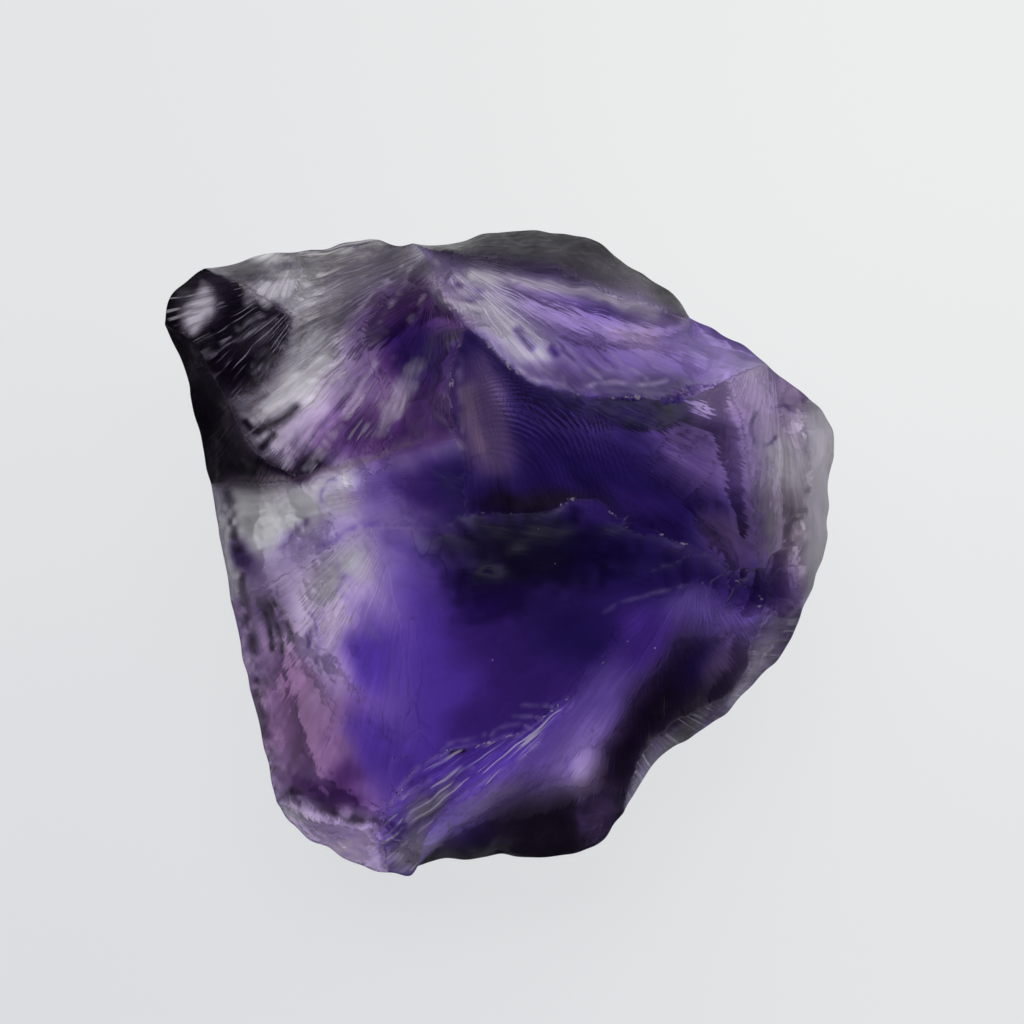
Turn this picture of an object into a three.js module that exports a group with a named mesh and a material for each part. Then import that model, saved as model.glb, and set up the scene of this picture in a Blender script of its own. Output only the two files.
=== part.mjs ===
// Rough amethyst: one broken piece of clear purple quartz, with no crystal faces left on it.
// Curved fracture faces meet in sharp ridges, and one flat face lets the stone rest.
// Millimetres, +Z up. The origin is on the resting plane, under the middle of the stone.
import * as THREE from "three";

// Driving dimensions
const width = 24.0;
const depth = 23.2;
const height = 13.0;
const floor = 0.0;
const stoneColour = 0x6f5bb0;
const stoneRoughness = 0.12;

// Fineness of the mesh
const rings = 26;
const sectors = 6;
const stepsPerBend = 3;
const snapRounds = 3;
const relaxRounds = 2;
const halvings = 12;
const halfway = 0.5;

const west = -width / 2;
const east = width / 2;
const north = depth / 2;
const south = -depth / 2;
const crest = height;

// Corners of the rim, where the upper faces and the lower faces meet
const tip = [-3.1, 11.2, 6.8];
const bladeEnd = [6.8, 8.5, 7.9];
const eastTop = [9.6, 6.8, 7.6];
const bevelTop = [11.0, 5.7, 6.7];
const bevelFoot = [10.9, -1.9, 4.6];
const lobe = [4.4, -9.3, 4.1];
const stubEast = [-3.0, -11.2, 3.1];
const stubWest = [-4.0, -11.5, 3.0];
const heel = [-8.1, -8.9, 3.5];
const waist = [-9.7, -1.6, 4.8];
const hip = [-10.4, 2.6, 5.7];
const westPoint = [west, 8.3, 5.9];
const blockTop = [-10.6, 10.3, 5.9];
const paleTop = [-7.2, 10.9, 6.2];

// Corners on the upper side
const hook = [-2.3, 9.8, 9.2];
const notch = [-1.2, 8.1, 11.1];
const shoulder = [8.0, 6.2, 10.7];
const saddle = [-1.4, 4.2, 11.9];
const col = [-1.2, 1.5, 11.2];
const eastFork = [9.6, -1.7, 6.4];
const fringeFork = [8.9, -3.2, 5.9];
const lowFork = [2.8, -4.8, 7.4];
const foot = [-4.0, -9.0, 5.2];
const knee = [-4.6, 1.0, 8.9];
const cheek = [-7.2, 2.8, 7.8];
const brow = [-5.3, 3.3, 9.1];
const darkKnee = [-9.7, 5.5, 7.2];
const paleKnee = [-7.5, 8.6, 8.0];

// Corners on the lower side
const midTip = [-1.8, 8.1, 1.5];
const midBack = [5.0, 7.3, 1.8];
const midEast = [7.7, 4.5, 1.6];
const midFoot = [8.1, -1.6, 1.2];
const midLobe = [3.9, -7.6, 0.9];
const midStub = [-2.2, -8.9, 0.8];
const midHeel = [-5.9, -7.7, 1.0];
const midWest = [-7.3, -1.6, 1.3];
const midDark = [-7.2, 5.1, 1.8];
const baseTip = [-1.4, 4.5, floor];
const baseBack = [3.6, 4.7, floor];
const baseEast = [5.4, 2.7, floor];
const baseFoot = [5.6, -1.9, floor];
const baseLobe = [3.1, -5.4, floor];
const baseStub = [-1.8, -6.4, floor];
const baseWest = [-4.9, -3.0, floor];
const baseDark = [-4.5, 2.0, floor];

// The rim, clockwise from the tip
const rim = {
  back: [tip, [-2.5, 11.1, 7.1], [-1.6, 11.2, 7.3], [-0.4, 11.5, 7.5], [1.1, north, 7.7],
    [2.4, 11.5, 7.9], [3.6, 11.1, 8.0], [4.5, 10.4, 8.0], [5.3, 9.9, 8.0], [6.0, 9.5, 8.0], bladeEnd],
  blade: [bladeEnd, [8.5, 7.6, 7.9], eastTop],
  right: [eastTop, [10.4, 6.2, 7.0], bevelTop],
  bevel: [bevelTop, [11.6, 5.2, 6.1], [11.9, 4.6, 5.8], [east, 3.6, 5.6], [11.8, 2.6, 5.5],
    [11.8, 1.7, 5.3], [11.7, 0.4, 5.0], [11.4, -0.7, 4.8], bevelFoot],
  fringe: [bevelFoot, [10.7, -2.5, 4.6], [10.1, -3.6, 4.6], [9.3, -4.5, 4.5], [8.5, -5.3, 4.4],
    [7.7, -6.0, 4.4], [6.8, -6.6, 4.3], [5.9, -7.2, 4.2], [5.0, -8.3, 4.1], lobe],
  shadow: [lobe, [3.7, -10.2, 4.0], [3.2, -10.6, 3.9], [2.2, -10.8, 3.9], [1.3, -10.9, 3.8],
    [0.0, -10.8, 3.7], [-1.1, -11.0, 3.5], [-2.2, -11.0, 3.3], stubEast],
  stub: [stubEast, [-3.3, south, 3.0], stubWest],
  sliver: [stubWest, [-5.0, -11.3, 3.0], [-5.9, -10.8, 3.0], [-7.0, -10.2, 3.1], [-7.7, -9.6, 3.2], heel],
  left: [heel, [-8.2, -8.4, 3.6], [-8.4, -7.4, 3.8], [-8.7, -5.9, 4.0], [-9.1, -4.5, 4.2],
    [-9.4, -3.0, 4.4], waist],
  band: [waist, [-9.9, -0.1, 5.1], [-10.2, 1.3, 5.4], hip],
  dark: [hip, [-10.7, 4.2, 6.0], [-11.0, 5.4, 6.2], [-11.3, 6.6, 6.2], [-11.7, 7.6, 6.0], westPoint],
  block: [westPoint, [-11.8, 9.3, 5.9], [-11.2, 9.9, 5.9], blockTop],
  pale: [blockTop, [-9.6, 10.5, 5.9], [-8.6, 10.8, 6.1], paleTop],
  sky: [paleTop, [-6.5, 11.0, 6.3], [-5.4, 11.2, 6.4], [-4.5, 11.3, 6.5], [-3.6, 11.1, 6.7], tip],
};

// The ridges of the upper side
const ridge = {
  hookTip: [tip, [-2.6, 10.6, 8.2], hook],
  hookSide: [hook, [-1.9, 9.1, 10.1], notch],
  crown: [notch, [-0.2, 7.3, 11.9], [0.7, 6.4, 12.6], [1.6, 5.9, crest], [2.7, 5.7, crest],
    [4.3, 5.6, 12.8], [5.8, 5.5, 12.3], [6.9, 5.9, 11.5], shoulder],
  crownEnd: [shoulder, [8.8, 6.6, 9.4], eastTop],
  back: [tip, [-2.4, 10.9, 8.2], [-1.6, 10.8, 9.0], [-0.6, 10.6, 9.5], [0.2, 10.3, 9.9],
    [1.9, 10.2, 10.3], [4.0, 9.3, 10.2], [5.4, 8.9, 9.6], [6.2, 8.6, 8.9], bladeEnd],
  spine: [notch, [-1.4, 7.4, 11.6], [-1.7, 6.7, 11.9], [-1.7, 5.9, 12.0], [-1.6, 5.1, 12.0], saddle],
  spineEnd: [saddle, [-1.3, 2.9, 11.6], col],
  bowlBrow: [col, [-0.5, 1.6, 11.2], [0.4, 1.5, 11.1], [1.8, 1.7, 11.1], [2.6, 2.0, 11.0],
    [3.5, 2.0, 10.8], [4.0, 1.5, 10.5], [4.8, 1.1, 10.1], [5.6, 0.8, 9.7], [6.8, 0.4, 9.1],
    [7.6, 0.0, 8.6], [8.4, -0.8, 7.7], [9.0, -1.2, 7.0], eastFork],
  lilacTop: [eastFork, [8.8, -1.8, 6.9], [8.1, -1.6, 7.4], [7.1, -0.9, 8.2], [6.4, -1.3, 8.2],
    [5.6, -1.6, 8.1], [5.0, -1.9, 8.0], [4.5, -2.4, 7.9], [4.2, -3.2, 7.8], [3.6, -3.9, 7.6], lowFork],
  lilacSide: [lowFork, [2.1, -5.8, 7.1], [1.3, -6.8, 6.8], [0.2, -7.7, 6.4], [-1.0, -8.6, 6.0],
    [-2.1, -9.3, 5.4], [-2.7, -10.2, 4.7], stubEast],
  featherTop: [lowFork, [1.8, -5.6, 6.9], [0.6, -6.3, 6.5], [-0.4, -6.7, 6.2], [-1.8, -7.0, 5.9],
    [-2.4, -7.4, 5.8], [-3.4, -8.2, 5.5], foot],
  featherSide: [foot, [-4.2, -9.6, 4.8], [-4.3, -10.6, 4.0], stubWest],
  bandTop: [hip, [-9.5, 2.6, 6.3], [-8.6, 2.6, 7.0], cheek],
  bandBrow: [cheek, [-6.1, 3.1, 8.6], brow],
  bandCrest: [brow, [-4.1, 3.6, 9.9], [-2.9, 3.9, 10.8], saddle],
  bandFoot: [waist, [-8.8, -1.2, 5.5], [-7.6, -0.6, 6.6], [-6.4, 0.1, 7.6], [-5.4, 0.6, 8.3], knee],
  bandEnd: [knee, [-3.4, 1.0, 9.6], [-2.2, 1.0, 10.4], col],
  shin: [knee, [-4.0, -0.3, 8.6], [-3.7, -1.6, 8.2], [-3.5, -3.0, 7.7], [-3.4, -5.2, 6.9],
    [-3.7, -7.2, 6.1], foot],
  violetWest: [hook, [-3.4, 9.4, 9.3], [-4.3, 8.9, 9.2], [-4.8, 8.0, 9.0], [-4.6, 6.9, 9.0],
    [-4.1, 5.8, 9.2], [-4.2, 4.7, 9.3], [-4.7, 3.9, 9.2], brow],
  darkTop: [westPoint, [-11.3, 7.9, 6.4], [-10.6, 7.2, 6.8], [-10.2, 6.3, 7.0], darkKnee],
  darkSide: [darkKnee, [-9.2, 4.5, 7.4], [-8.7, 3.7, 7.5], [-7.9, 3.2, 7.7], cheek],
  blockSide: [darkKnee, [-8.8, 5.9, 8.0], [-8.2, 6.5, 8.3], [-7.6, 7.6, 8.2], paleKnee],
  paleFoot: [paleKnee, [-8.6, 9.3, 7.5], [-9.5, 9.8, 6.8], blockTop],
  paleSide: [paleTop, [-7.1, 9.9, 7.4], paleKnee],
  bevel: [bevelTop, [10.9, 4.9, 6.9], [11.0, 4.0, 6.9], [11.1, 2.5, 6.7], [11.0, 1.3, 6.4],
    [10.8, 0.4, 6.2], [10.7, -0.7, 5.6], bevelFoot],
  rightSide: [shoulder, [8.5, 4.9, 10.1], [8.9, 3.1, 9.3], [9.2, 0.6, 8.1], eastFork],
  rightFoot: [eastFork, [10.3, -1.8, 5.4], bevelFoot],
  fringeEnd: [eastFork, [9.4, -2.5, 6.2], fringeFork],
  lilacFoot: [fringeFork, [7.9, -2.8, 6.6], [6.8, -2.8, 7.1], [6.2, -2.9, 7.2], [6.0, -3.6, 7.0],
    [5.1, -4.5, 6.6], [4.8, -5.0, 6.4], [4.4, -6.0, 6.1], [3.8, -6.9, 5.7], [3.2, -8.2, 5.2],
    [1.9, -8.4, 5.3], [1.0, -8.7, 5.2], [-0.5, -9.2, 4.9], [-1.8, -10.2, 4.2], stubEast],
  fringeTop: [fringeFork, [8.9, -3.9, 5.6], [8.4, -4.8, 5.4], [7.2, -5.5, 5.4], [6.2, -6.0, 5.4],
    [5.2, -7.0, 5.3], [4.7, -8.2, 4.8], lobe],
  sliverTop: [heel, [-6.9, -9.4, 4.1], [-6.3, -9.6, 4.3], [-5.1, -9.9, 4.4], [-4.5, -10.4, 4.0], stubWest],
};

// The ridges of the lower side: from the rim inward, around the middle, and down to the base
const keel = {
  tip: [tip, [-2.6, 9.6, 4.0], midTip],
  back: [bladeEnd, [6.0, 7.9, 4.6], midBack],
  bevel: [bevelTop, [9.5, 5.1, 3.8], midEast],
  foot: [bevelFoot, [9.6, -1.8, 2.6], midFoot],
  lobe: [lobe, [4.2, -8.5, 2.1], midLobe],
  stub: [stubEast, [-2.6, -10.1, 1.8], midStub],
  heel: [heel, [-7.0, -8.3, 2.2], midHeel],
  waist: [waist, [-8.6, -1.6, 2.9], midWest],
  west: [westPoint, [-9.6, 6.8, 3.6], midDark],
  midBack: [midTip, [1.6, 8.4, 1.9], midBack],
  midBlade: [midBack, [6.7, 6.0, 1.5], midEast],
  midRight: [midEast, [8.6, 1.5, 1.2], midFoot],
  midFringe: [midFoot, [6.5, -4.8, 1.1], midLobe],
  midShadow: [midLobe, [1.1, -8.7, 0.8], midStub],
  midSliver: [midStub, [-4.1, -8.6, 0.7], midHeel],
  midLeft: [midHeel, [-7.0, -4.8, 1.3], midWest],
  midDark: [midWest, [-7.6, 1.8, 1.7], midDark],
  midSky: [midDark, [-4.7, 7.1, 1.9], midTip],
  tipFoot: [midTip, [-1.5, 6.3, 0.7], baseTip],
  backFoot: [midBack, [4.4, 6.0, 0.8], baseBack],
  eastFoot: [midEast, [6.6, 3.6, 0.7], baseEast],
  footEnd: [midFoot, [6.8, -1.8, 0.5], baseFoot],
  lobeFoot: [midLobe, [3.5, -6.5, 0.4], baseLobe],
  stubFoot: [midStub, [-2.0, -7.7, 0.3], baseStub],
  westFoot: [midWest, [-6.1, -2.4, 0.6], baseWest],
  darkFoot: [midDark, [-5.8, 3.5, 0.8], baseDark],
  baseBack: [baseTip, baseBack],
  baseBlade: [baseBack, baseEast],
  baseRight: [baseEast, baseFoot],
  baseFringe: [baseFoot, baseLobe],
  baseShadow: [baseLobe, baseStub],
  baseLeft: [baseStub, baseWest],
  baseDark: [baseWest, baseDark],
  baseSky: [baseDark, baseTip],
};

// A line of a drawn loop can run against its own direction
const back = (line) => [...line].reverse();

// Each face has the lines around it, and how far its middle is hollowed
const upperFaces = {
  blade: { loop: [ridge.back, rim.blade, back(ridge.crownEnd), back(ridge.crown),
    back(ridge.hookSide), back(ridge.hookTip)], hollow: 0.5 },
  back: { loop: [rim.back, back(ridge.back)], hollow: -0.3 },
  prints: { loop: [ridge.crown, ridge.rightSide, back(ridge.bowlBrow), back(ridge.spineEnd),
    back(ridge.spine)], hollow: 0.6 },
  right: { loop: [ridge.crownEnd, rim.right, ridge.bevel, back(ridge.rightFoot),
    back(ridge.rightSide)], hollow: 0.2 },
  bevel: { loop: [rim.bevel, back(ridge.bevel)], hollow: -0.15 },
  bowl: { loop: [ridge.bowlBrow, ridge.lilacTop, ridge.featherTop, back(ridge.shin),
    ridge.bandEnd], hollow: 0.6 },
  feather: { loop: [ridge.lilacSide, rim.stub, back(ridge.featherSide),
    back(ridge.featherTop)], hollow: 0.1 },
  lilac: { loop: [ridge.fringeEnd, ridge.lilacFoot, back(ridge.lilacSide),
    back(ridge.lilacTop)], hollow: -0.1 },
  shadow: { loop: [ridge.fringeTop, rim.shadow, back(ridge.lilacFoot)], hollow: -0.2 },
  fringe: { loop: [ridge.rightFoot, rim.fringe, back(ridge.fringeTop),
    back(ridge.fringeEnd)], hollow: -0.1 },
  left: { loop: [ridge.bandFoot, ridge.shin, ridge.featherSide, back(ridge.sliverTop),
    rim.left], hollow: 0.3 },
  sliver: { loop: [ridge.sliverTop, rim.sliver], hollow: -0.1 },
  band: { loop: [ridge.bandTop, ridge.bandBrow, ridge.bandCrest, ridge.spineEnd,
    back(ridge.bandEnd), back(ridge.bandFoot), rim.band], hollow: 0.0 },
  violet: { loop: [ridge.hookSide, ridge.spine, back(ridge.bandCrest),
    back(ridge.violetWest)], hollow: 0.9 },
  stripes: { loop: [rim.sky, ridge.hookTip, ridge.violetWest, back(ridge.bandBrow),
    back(ridge.darkSide), ridge.blockSide, back(ridge.paleSide)], hollow: 0.3 },
  dark: { loop: [rim.dark, ridge.darkTop, ridge.darkSide, back(ridge.bandTop)], hollow: 0.0 },
  block: { loop: [rim.block, back(ridge.paleFoot), back(ridge.blockSide),
    back(ridge.darkTop)], hollow: 0.1 },
  pale: { loop: [rim.pale, ridge.paleSide, ridge.paleFoot], hollow: 0.1 },
};
const lowerFaces = {
  base: { loop: [keel.baseBack, keel.baseBlade, keel.baseRight, keel.baseFringe,
    keel.baseShadow, keel.baseLeft, keel.baseDark, keel.baseSky], hollow: 0.0 },
  backStep: { loop: [keel.midBack, keel.backFoot, back(keel.baseBack), back(keel.tipFoot)], hollow: 0.15 },
  bladeStep: { loop: [keel.midBlade, keel.eastFoot, back(keel.baseBlade),
    back(keel.backFoot)], hollow: 0.1 },
  rightStep: { loop: [keel.midRight, keel.footEnd, back(keel.baseRight),
    back(keel.eastFoot)], hollow: 0.15 },
  fringeStep: { loop: [keel.midFringe, keel.lobeFoot, back(keel.baseFringe),
    back(keel.footEnd)], hollow: 0.15 },
  shadowStep: { loop: [keel.midShadow, keel.stubFoot, back(keel.baseShadow),
    back(keel.lobeFoot)], hollow: 0.1 },
  leftStep: { loop: [keel.midSliver, keel.midLeft, keel.westFoot, back(keel.baseLeft),
    back(keel.stubFoot)], hollow: 0.15 },
  darkStep: { loop: [keel.midDark, keel.darkFoot, back(keel.baseDark), back(keel.westFoot)], hollow: 0.1 },
  skyStep: { loop: [keel.midSky, keel.tipFoot, back(keel.baseSky), back(keel.darkFoot)], hollow: 0.15 },
  backUnder: { loop: [rim.back, keel.back, back(keel.midBack), back(keel.tip)], hollow: 0.4 },
  bladeUnder: { loop: [rim.blade, rim.right, keel.bevel, back(keel.midBlade),
    back(keel.back)], hollow: 0.2 },
  bevelUnder: { loop: [rim.bevel, keel.foot, back(keel.midRight), back(keel.bevel)], hollow: 0.3 },
  fringeUnder: { loop: [rim.fringe, keel.lobe, back(keel.midFringe), back(keel.foot)], hollow: 0.3 },
  shadowUnder: { loop: [rim.shadow, keel.stub, back(keel.midShadow), back(keel.lobe)], hollow: 0.2 },
  sliverUnder: { loop: [rim.stub, rim.sliver, keel.heel, back(keel.midSliver),
    back(keel.stub)], hollow: 0.2 },
  leftUnder: { loop: [rim.left, keel.waist, back(keel.midLeft), back(keel.heel)], hollow: 0.25 },
  darkUnder: { loop: [rim.band, rim.dark, keel.west, back(keel.midDark), back(keel.waist)], hollow: 0.3 },
  skyUnder: { loop: [rim.block, rim.pale, rim.sky, keel.tip, back(keel.midSky),
    back(keel.west)], hollow: 0.4 },
};

// Chips, knobs and pits on the upper side: middle, half length, half breadth, turn in radians and rise
const marks = {
  leafChip: { x: -3.2, y: 5.6, long: 1.4, broad: 0.7, turn: 1.1, rise: -0.3 },
  bandKnob: { x: -5.6, y: 2.3, long: 0.9, broad: 0.7, turn: 0.4, rise: 0.3 },
  leftPit: { x: -4.8, y: -3.1, long: 0.8, broad: 0.7, turn: 0.0, rise: -0.25 },
  bowlDent: { x: -0.4, y: -1.2, long: 1.3, broad: 0.9, turn: 0.6, rise: -0.35 },
  rimPitUpper: { x: -9.0, y: 0.8, long: 0.8, broad: 0.6, turn: 1.4, rise: -0.25 },
  rimPitLower: { x: -8.3, y: -4.9, long: 0.9, broad: 0.6, turn: 1.3, rise: -0.25 },
  footChip: { x: -3.9, y: -9.5, long: 0.8, broad: 0.6, turn: 0.9, rise: -0.25 },
  creaseGash: { x: -8.3, y: 4.4, long: 1.1, broad: 0.6, turn: 0.9, rise: -0.3 },
};

// A mark has its full rise from this share of the way to the middle of its face
const markShore = 1 / 3;

// A smooth line through its points, as short straight steps
function smoothLine(points) {
  if (points.length < 3) {
    return points;
  }
  const curve = new THREE.CatmullRomCurve3(points.map((point) => new THREE.Vector3(...point)));
  return curve.getPoints((points.length - 1) * stepsPerBend).map((point) => point.toArray());
}

// The closed loop of a list of lines, without its last point
function closedLoop(lines) {
  return lines.flatMap((line) => smoothLine(line).slice(0, -1));
}

function faceOf({ loop, hollow }) {
  const points = closedLoop(loop);
  return { points, hollow, flat: points.every((point) => point[2] === floor), deepest: 0 };
}

function inside(points, x, y) {
  let within = false;
  for (let i = 0; i < points.length; i += 1) {
    const [ax, ay] = points[i];
    const [bx, by] = points[(i + 1) % points.length];
    if (ay > y !== by > y && x < ax + ((y - ay) / (by - ay)) * (bx - ax)) {
      within = !within;
    }
  }
  return within;
}

// Height and depth inside a loop by mean value coordinates
function meanValue(points, x, y) {
  let sum = 0;
  let total = 0;
  const count = points.length;
  const halfAngle = points.map((point, i) => {
    const next = points[(i + 1) % count];
    const [ax, ay] = [point[0] - x, point[1] - y];
    const [bx, by] = [next[0] - x, next[1] - y];
    return Math.tan(Math.atan2(ax * by - ay * bx, ax * bx + ay * by) / 2);
  });
  points.forEach((point, i) => {
    const away = Math.hypot(point[0] - x, point[1] - y);
    const weight = (halfAngle[(i + count - 1) % count] + halfAngle[i]) / away;
    sum += weight * point[2];
    total += weight;
  });
  return { height: sum / total, depth: Math.abs(1 / total) };
}

// Nearest point of a set of lines, seen from above, with its height
function nearestOn(segments, x, y) {
  let best = null;
  let least = Infinity;
  for (const [a, b] of segments) {
    const [dx, dy] = [b[0] - a[0], b[1] - a[1]];
    const along = ((x - a[0]) * dx + (y - a[1]) * dy) / (dx * dx + dy * dy);
    const t = Math.min(1, Math.max(0, along));
    const gap = Math.hypot(x - a[0] - t * dx, y - a[1] - t * dy);
    if (gap < least) {
      least = gap;
      best = a.map((value, axis) => value + t * (b[axis] - value));
    }
  }
  return best;
}

// The rim as evenly spaced points, the nearest of which are moved onto its corners
function rimPoints(count) {
  const outline = closedLoop(Object.values(rim));
  const curve = new THREE.CurvePath();
  outline.forEach((point, i) => {
    const next = outline[(i + 1) % outline.length];
    curve.add(new THREE.LineCurve3(new THREE.Vector3(...point), new THREE.Vector3(...next)));
  });
  const points = curve.getSpacedPoints(count).slice(0, -1).map((point) => point.toArray());
  for (const [corner] of Object.values(rim)) {
    const gaps = points.map((point) => Math.hypot(point[0] - corner[0], point[1] - corner[1]));
    points[gaps.indexOf(Math.min(...gaps))] = [...corner];
  }
  return points;
}

// Rings of vertices from the middle out to the rim, each a smaller copy of the rim
function ringVertices(edge) {
  const vertices = [[0, 0, 0]];
  for (let ring = 1; ring < rings; ring += 1) {
    for (let i = 0; i < sectors * ring; i += 1) {
      const place = (i * rings) / ring;
      const before = edge[Math.floor(place)];
      const after = edge[(Math.floor(place) + 1) % edge.length];
      const part = place - Math.floor(place);
      vertices.push(before.map((value, axis) => ((value + part * (after[axis] - value)) * ring) / rings));
    }
  }
  return vertices.concat(edge.map((point) => [...point]));
}

const ringStart = (ring) => (ring === 0 ? 0 : 1 + (sectors * ring * (ring - 1)) / 2);

// Triangles between each ring and the next, facing up for a clockwise rim
function ringTriangles() {
  const triangles = [];
  for (let ring = 1; ring <= rings; ring += 1) {
    const outer = sectors * ring;
    const inner = Math.max(1, sectors * (ring - 1));
    let i = 0;
    let j = 0;
    const innerSteps = ring === 1 ? 0 : inner;
    while (i < innerSteps || j < outer) {
      const near = ringStart(ring - 1) + (i % inner);
      const far = ringStart(ring) + (j % outer);
      if (j < outer && (i >= innerSteps || (j + halfway) / outer < (i + halfway) / inner)) {
        triangles.push([near, ringStart(ring) + ((j + 1) % outer), far]);
        j += 1;
      } else {
        triangles.push([near, ringStart(ring - 1) + ((i + 1) % inner), far]);
        i += 1;
      }
    }
  }
  return triangles;
}

function edgesOf(triangles) {
  const seen = new Map();
  for (const [a, b, c] of triangles) {
    for (const [from, to] of [[a, b], [b, c], [c, a]]) {
      seen.set(`${Math.min(from, to)} ${Math.max(from, to)}`, [from, to]);
    }
  }
  return [...seen.values()];
}

// Where the straight way between two vertices leaves the first one's face
function crossing(from, to, faceAt, face) {
  let low = 0;
  let high = 1;
  for (let i = 0; i < halvings; i += 1) {
    const middle = (low + high) / 2;
    const x = from[0] + middle * (to[0] - from[0]);
    const y = from[1] + middle * (to[1] - from[1]);
    if (faceAt(x, y) === face) {
      low = middle;
    } else {
      high = middle;
    }
  }
  return (low + high) / 2;
}

// One side of the stone: a disc of rings laid onto the faces, with vertices on every ridge
function sideOf(faceList, lines, corners, edge) {
  const faces = Object.values(faceList).map(faceOf);
  const faceAt = (x, y) => faces.findIndex((face) => inside(face.points, x, y));
  const segments = lines.flatMap((line) => {
    const points = smoothLine(line);
    return points.slice(1).map((point, i) => [points[i], point]);
  });
  const vertices = ringVertices(edge);
  const triangles = ringTriangles();
  const edges = edgesOf(triangles);
  const rimStart = ringStart(rings);
  const onRidge = vertices.map((vertex, i) => i >= rimStart);
  const inward = 0.985;
  const labels = vertices.map(([x, y], i) =>
    i < rimStart ? faceAt(x, y) : faceAt(x * inward, y * inward));

  for (const corner of corners) {
    const gaps = vertices.map((vertex, i) =>
      onRidge[i] ? Infinity : Math.hypot(vertex[0] - corner[0], vertex[1] - corner[1]));
    const nearest = gaps.indexOf(Math.min(...gaps));
    vertices[nearest] = [...corner];
    onRidge[nearest] = true;
  }
  for (let round = 0; round < snapRounds; round += 1) {
    const moves = new Map();
    for (const [a, b] of edges) {
      if (labels[a] === labels[b] || (onRidge[a] && a < rimStart) || (onRidge[b] && b < rimStart)) {
        continue;
      }
      const part = crossing(vertices[a], vertices[b], faceAt, labels[a]);
      const nearer = onRidge[b] || (part < halfway && !onRidge[a]) ? a : b;
      const shift = nearer === a ? part : 1 - part;
      if (onRidge[nearer] || (moves.has(nearer) && moves.get(nearer).shift < shift)) {
        continue;
      }
      const place = vertices[a].map((value, axis) => value + part * (vertices[b][axis] - value));
      moves.set(nearer, { shift, place });
    }
    for (const [index, { place }] of moves) {
      vertices[index] = place;
      onRidge[index] = true;
    }
  }

  const neighbours = vertices.map(() => []);
  for (const [a, b] of edges) {
    neighbours[a].push(b);
    neighbours[b].push(a);
  }
  for (let round = 0; round < relaxRounds; round += 1) {
    vertices.forEach((vertex, i) => {
      if (onRidge[i]) {
        return;
      }
      const x = neighbours[i].reduce((sum, n) => sum + vertices[n][0], 0) / neighbours[i].length;
      const y = neighbours[i].reduce((sum, n) => sum + vertices[n][1], 0) / neighbours[i].length;
      if (faceAt(x, y) === labels[i]) {
        vertices[i] = [x, y, 0];
      }
    });
  }

  const depths = vertices.map((vertex, i) => {
    if (i >= rimStart) {
      return 0;
    }
    if (onRidge[i]) {
      vertices[i] = nearestOn(segments, vertex[0], vertex[1]);
      return 0;
    }
    const face = faces[labels[i]];
    const { height: level, depth: far } = meanValue(face.points, vertex[0], vertex[1]);
    vertices[i] = [vertex[0], vertex[1], face.flat ? floor : level];
    face.deepest = Math.max(face.deepest, far);
    return far;
  });
  return { vertices, triangles, faces, labels, depths, onRidge };
}

// A mark fades from its middle to nothing at its edge
function markAt({ x, y, long, broad, turn, rise }, px, py) {
  const along = ((px - x) * Math.cos(turn) + (py - y) * Math.sin(turn)) / long;
  const across = ((py - y) * Math.cos(turn) - (px - x) * Math.sin(turn)) / broad;
  const far = along * along + across * across;
  return far < 1 ? rise * (1 - far) ** 2 : 0;
}

// Hollows out each face, and lays the marks on it; a lower face is hollowed upward
function hollowOut(side, sense, markList) {
  side.vertices.forEach((vertex, i) => {
    if (side.onRidge[i]) {
      return;
    }
    const face = side.faces[side.labels[i]];
    const share = face.deepest > 0 ? side.depths[i] / face.deepest : 0;
    const relief = markList.reduce((sum, mark) => sum + markAt(mark, vertex[0], vertex[1]), 0);
    vertex[2] += relief * Math.min(1, share / markShore) - sense * face.hollow * share;
  });
}

function stoneGeometry() {
  const edge = rimPoints(sectors * rings);
  const rimLines = Object.values(rim);
  const upper = sideOf(upperFaces, [...rimLines, ...Object.values(ridge)],
    [hook, notch, shoulder, saddle, col, eastFork, fringeFork, lowFork, foot, knee, cheek, brow,
      darkKnee, paleKnee], edge);
  const lower = sideOf(lowerFaces, [...rimLines, ...Object.values(keel)],
    [midTip, midBack, midEast, midFoot, midLobe, midStub, midHeel, midWest, midDark,
      baseTip, baseBack, baseEast, baseFoot, baseLobe, baseStub, baseWest, baseDark], edge);
  hollowOut(upper, 1, Object.values(marks));
  hollowOut(lower, -1, []);

  const rimStart = ringStart(rings);
  const offset = upper.vertices.length;
  const positions = [...upper.vertices, ...lower.vertices.slice(0, rimStart)].flat();
  const below = (i) => (i < rimStart ? offset + i : i);
  const index = [
    ...upper.triangles.flat(),
    ...lower.triangles.flatMap(([a, b, c]) => [below(a), below(c), below(b)]),
  ];
  const geometry = new THREE.BufferGeometry();
  geometry.setAttribute("position", new THREE.Float32BufferAttribute(positions, 3));
  geometry.setIndex(index);
  geometry.computeVertexNormals();
  return geometry;
}

const amethyst = new THREE.Mesh(
  stoneGeometry(),
  new THREE.MeshStandardMaterial({
    color: stoneColour,
    roughness: stoneRoughness,
    metalness: 0,
    flatShading: true,
  }),
);
amethyst.name = "amethyst";

const stone = new THREE.Group();
stone.add(amethyst);

export default stone;
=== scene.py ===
# Rough amethyst: the looks of one broken piece of clear purple quartz.
# The faces, ridges and sizes are the same named values as in the solid, in millimetres.
# Fine ripples, fracture lines, chips and worn edges are added here, and the colour and gloss.
from math import cos, pi, radians, sin

import bpy
import numpy as np
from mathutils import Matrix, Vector
from mathutils.kdtree import KDTree


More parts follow.
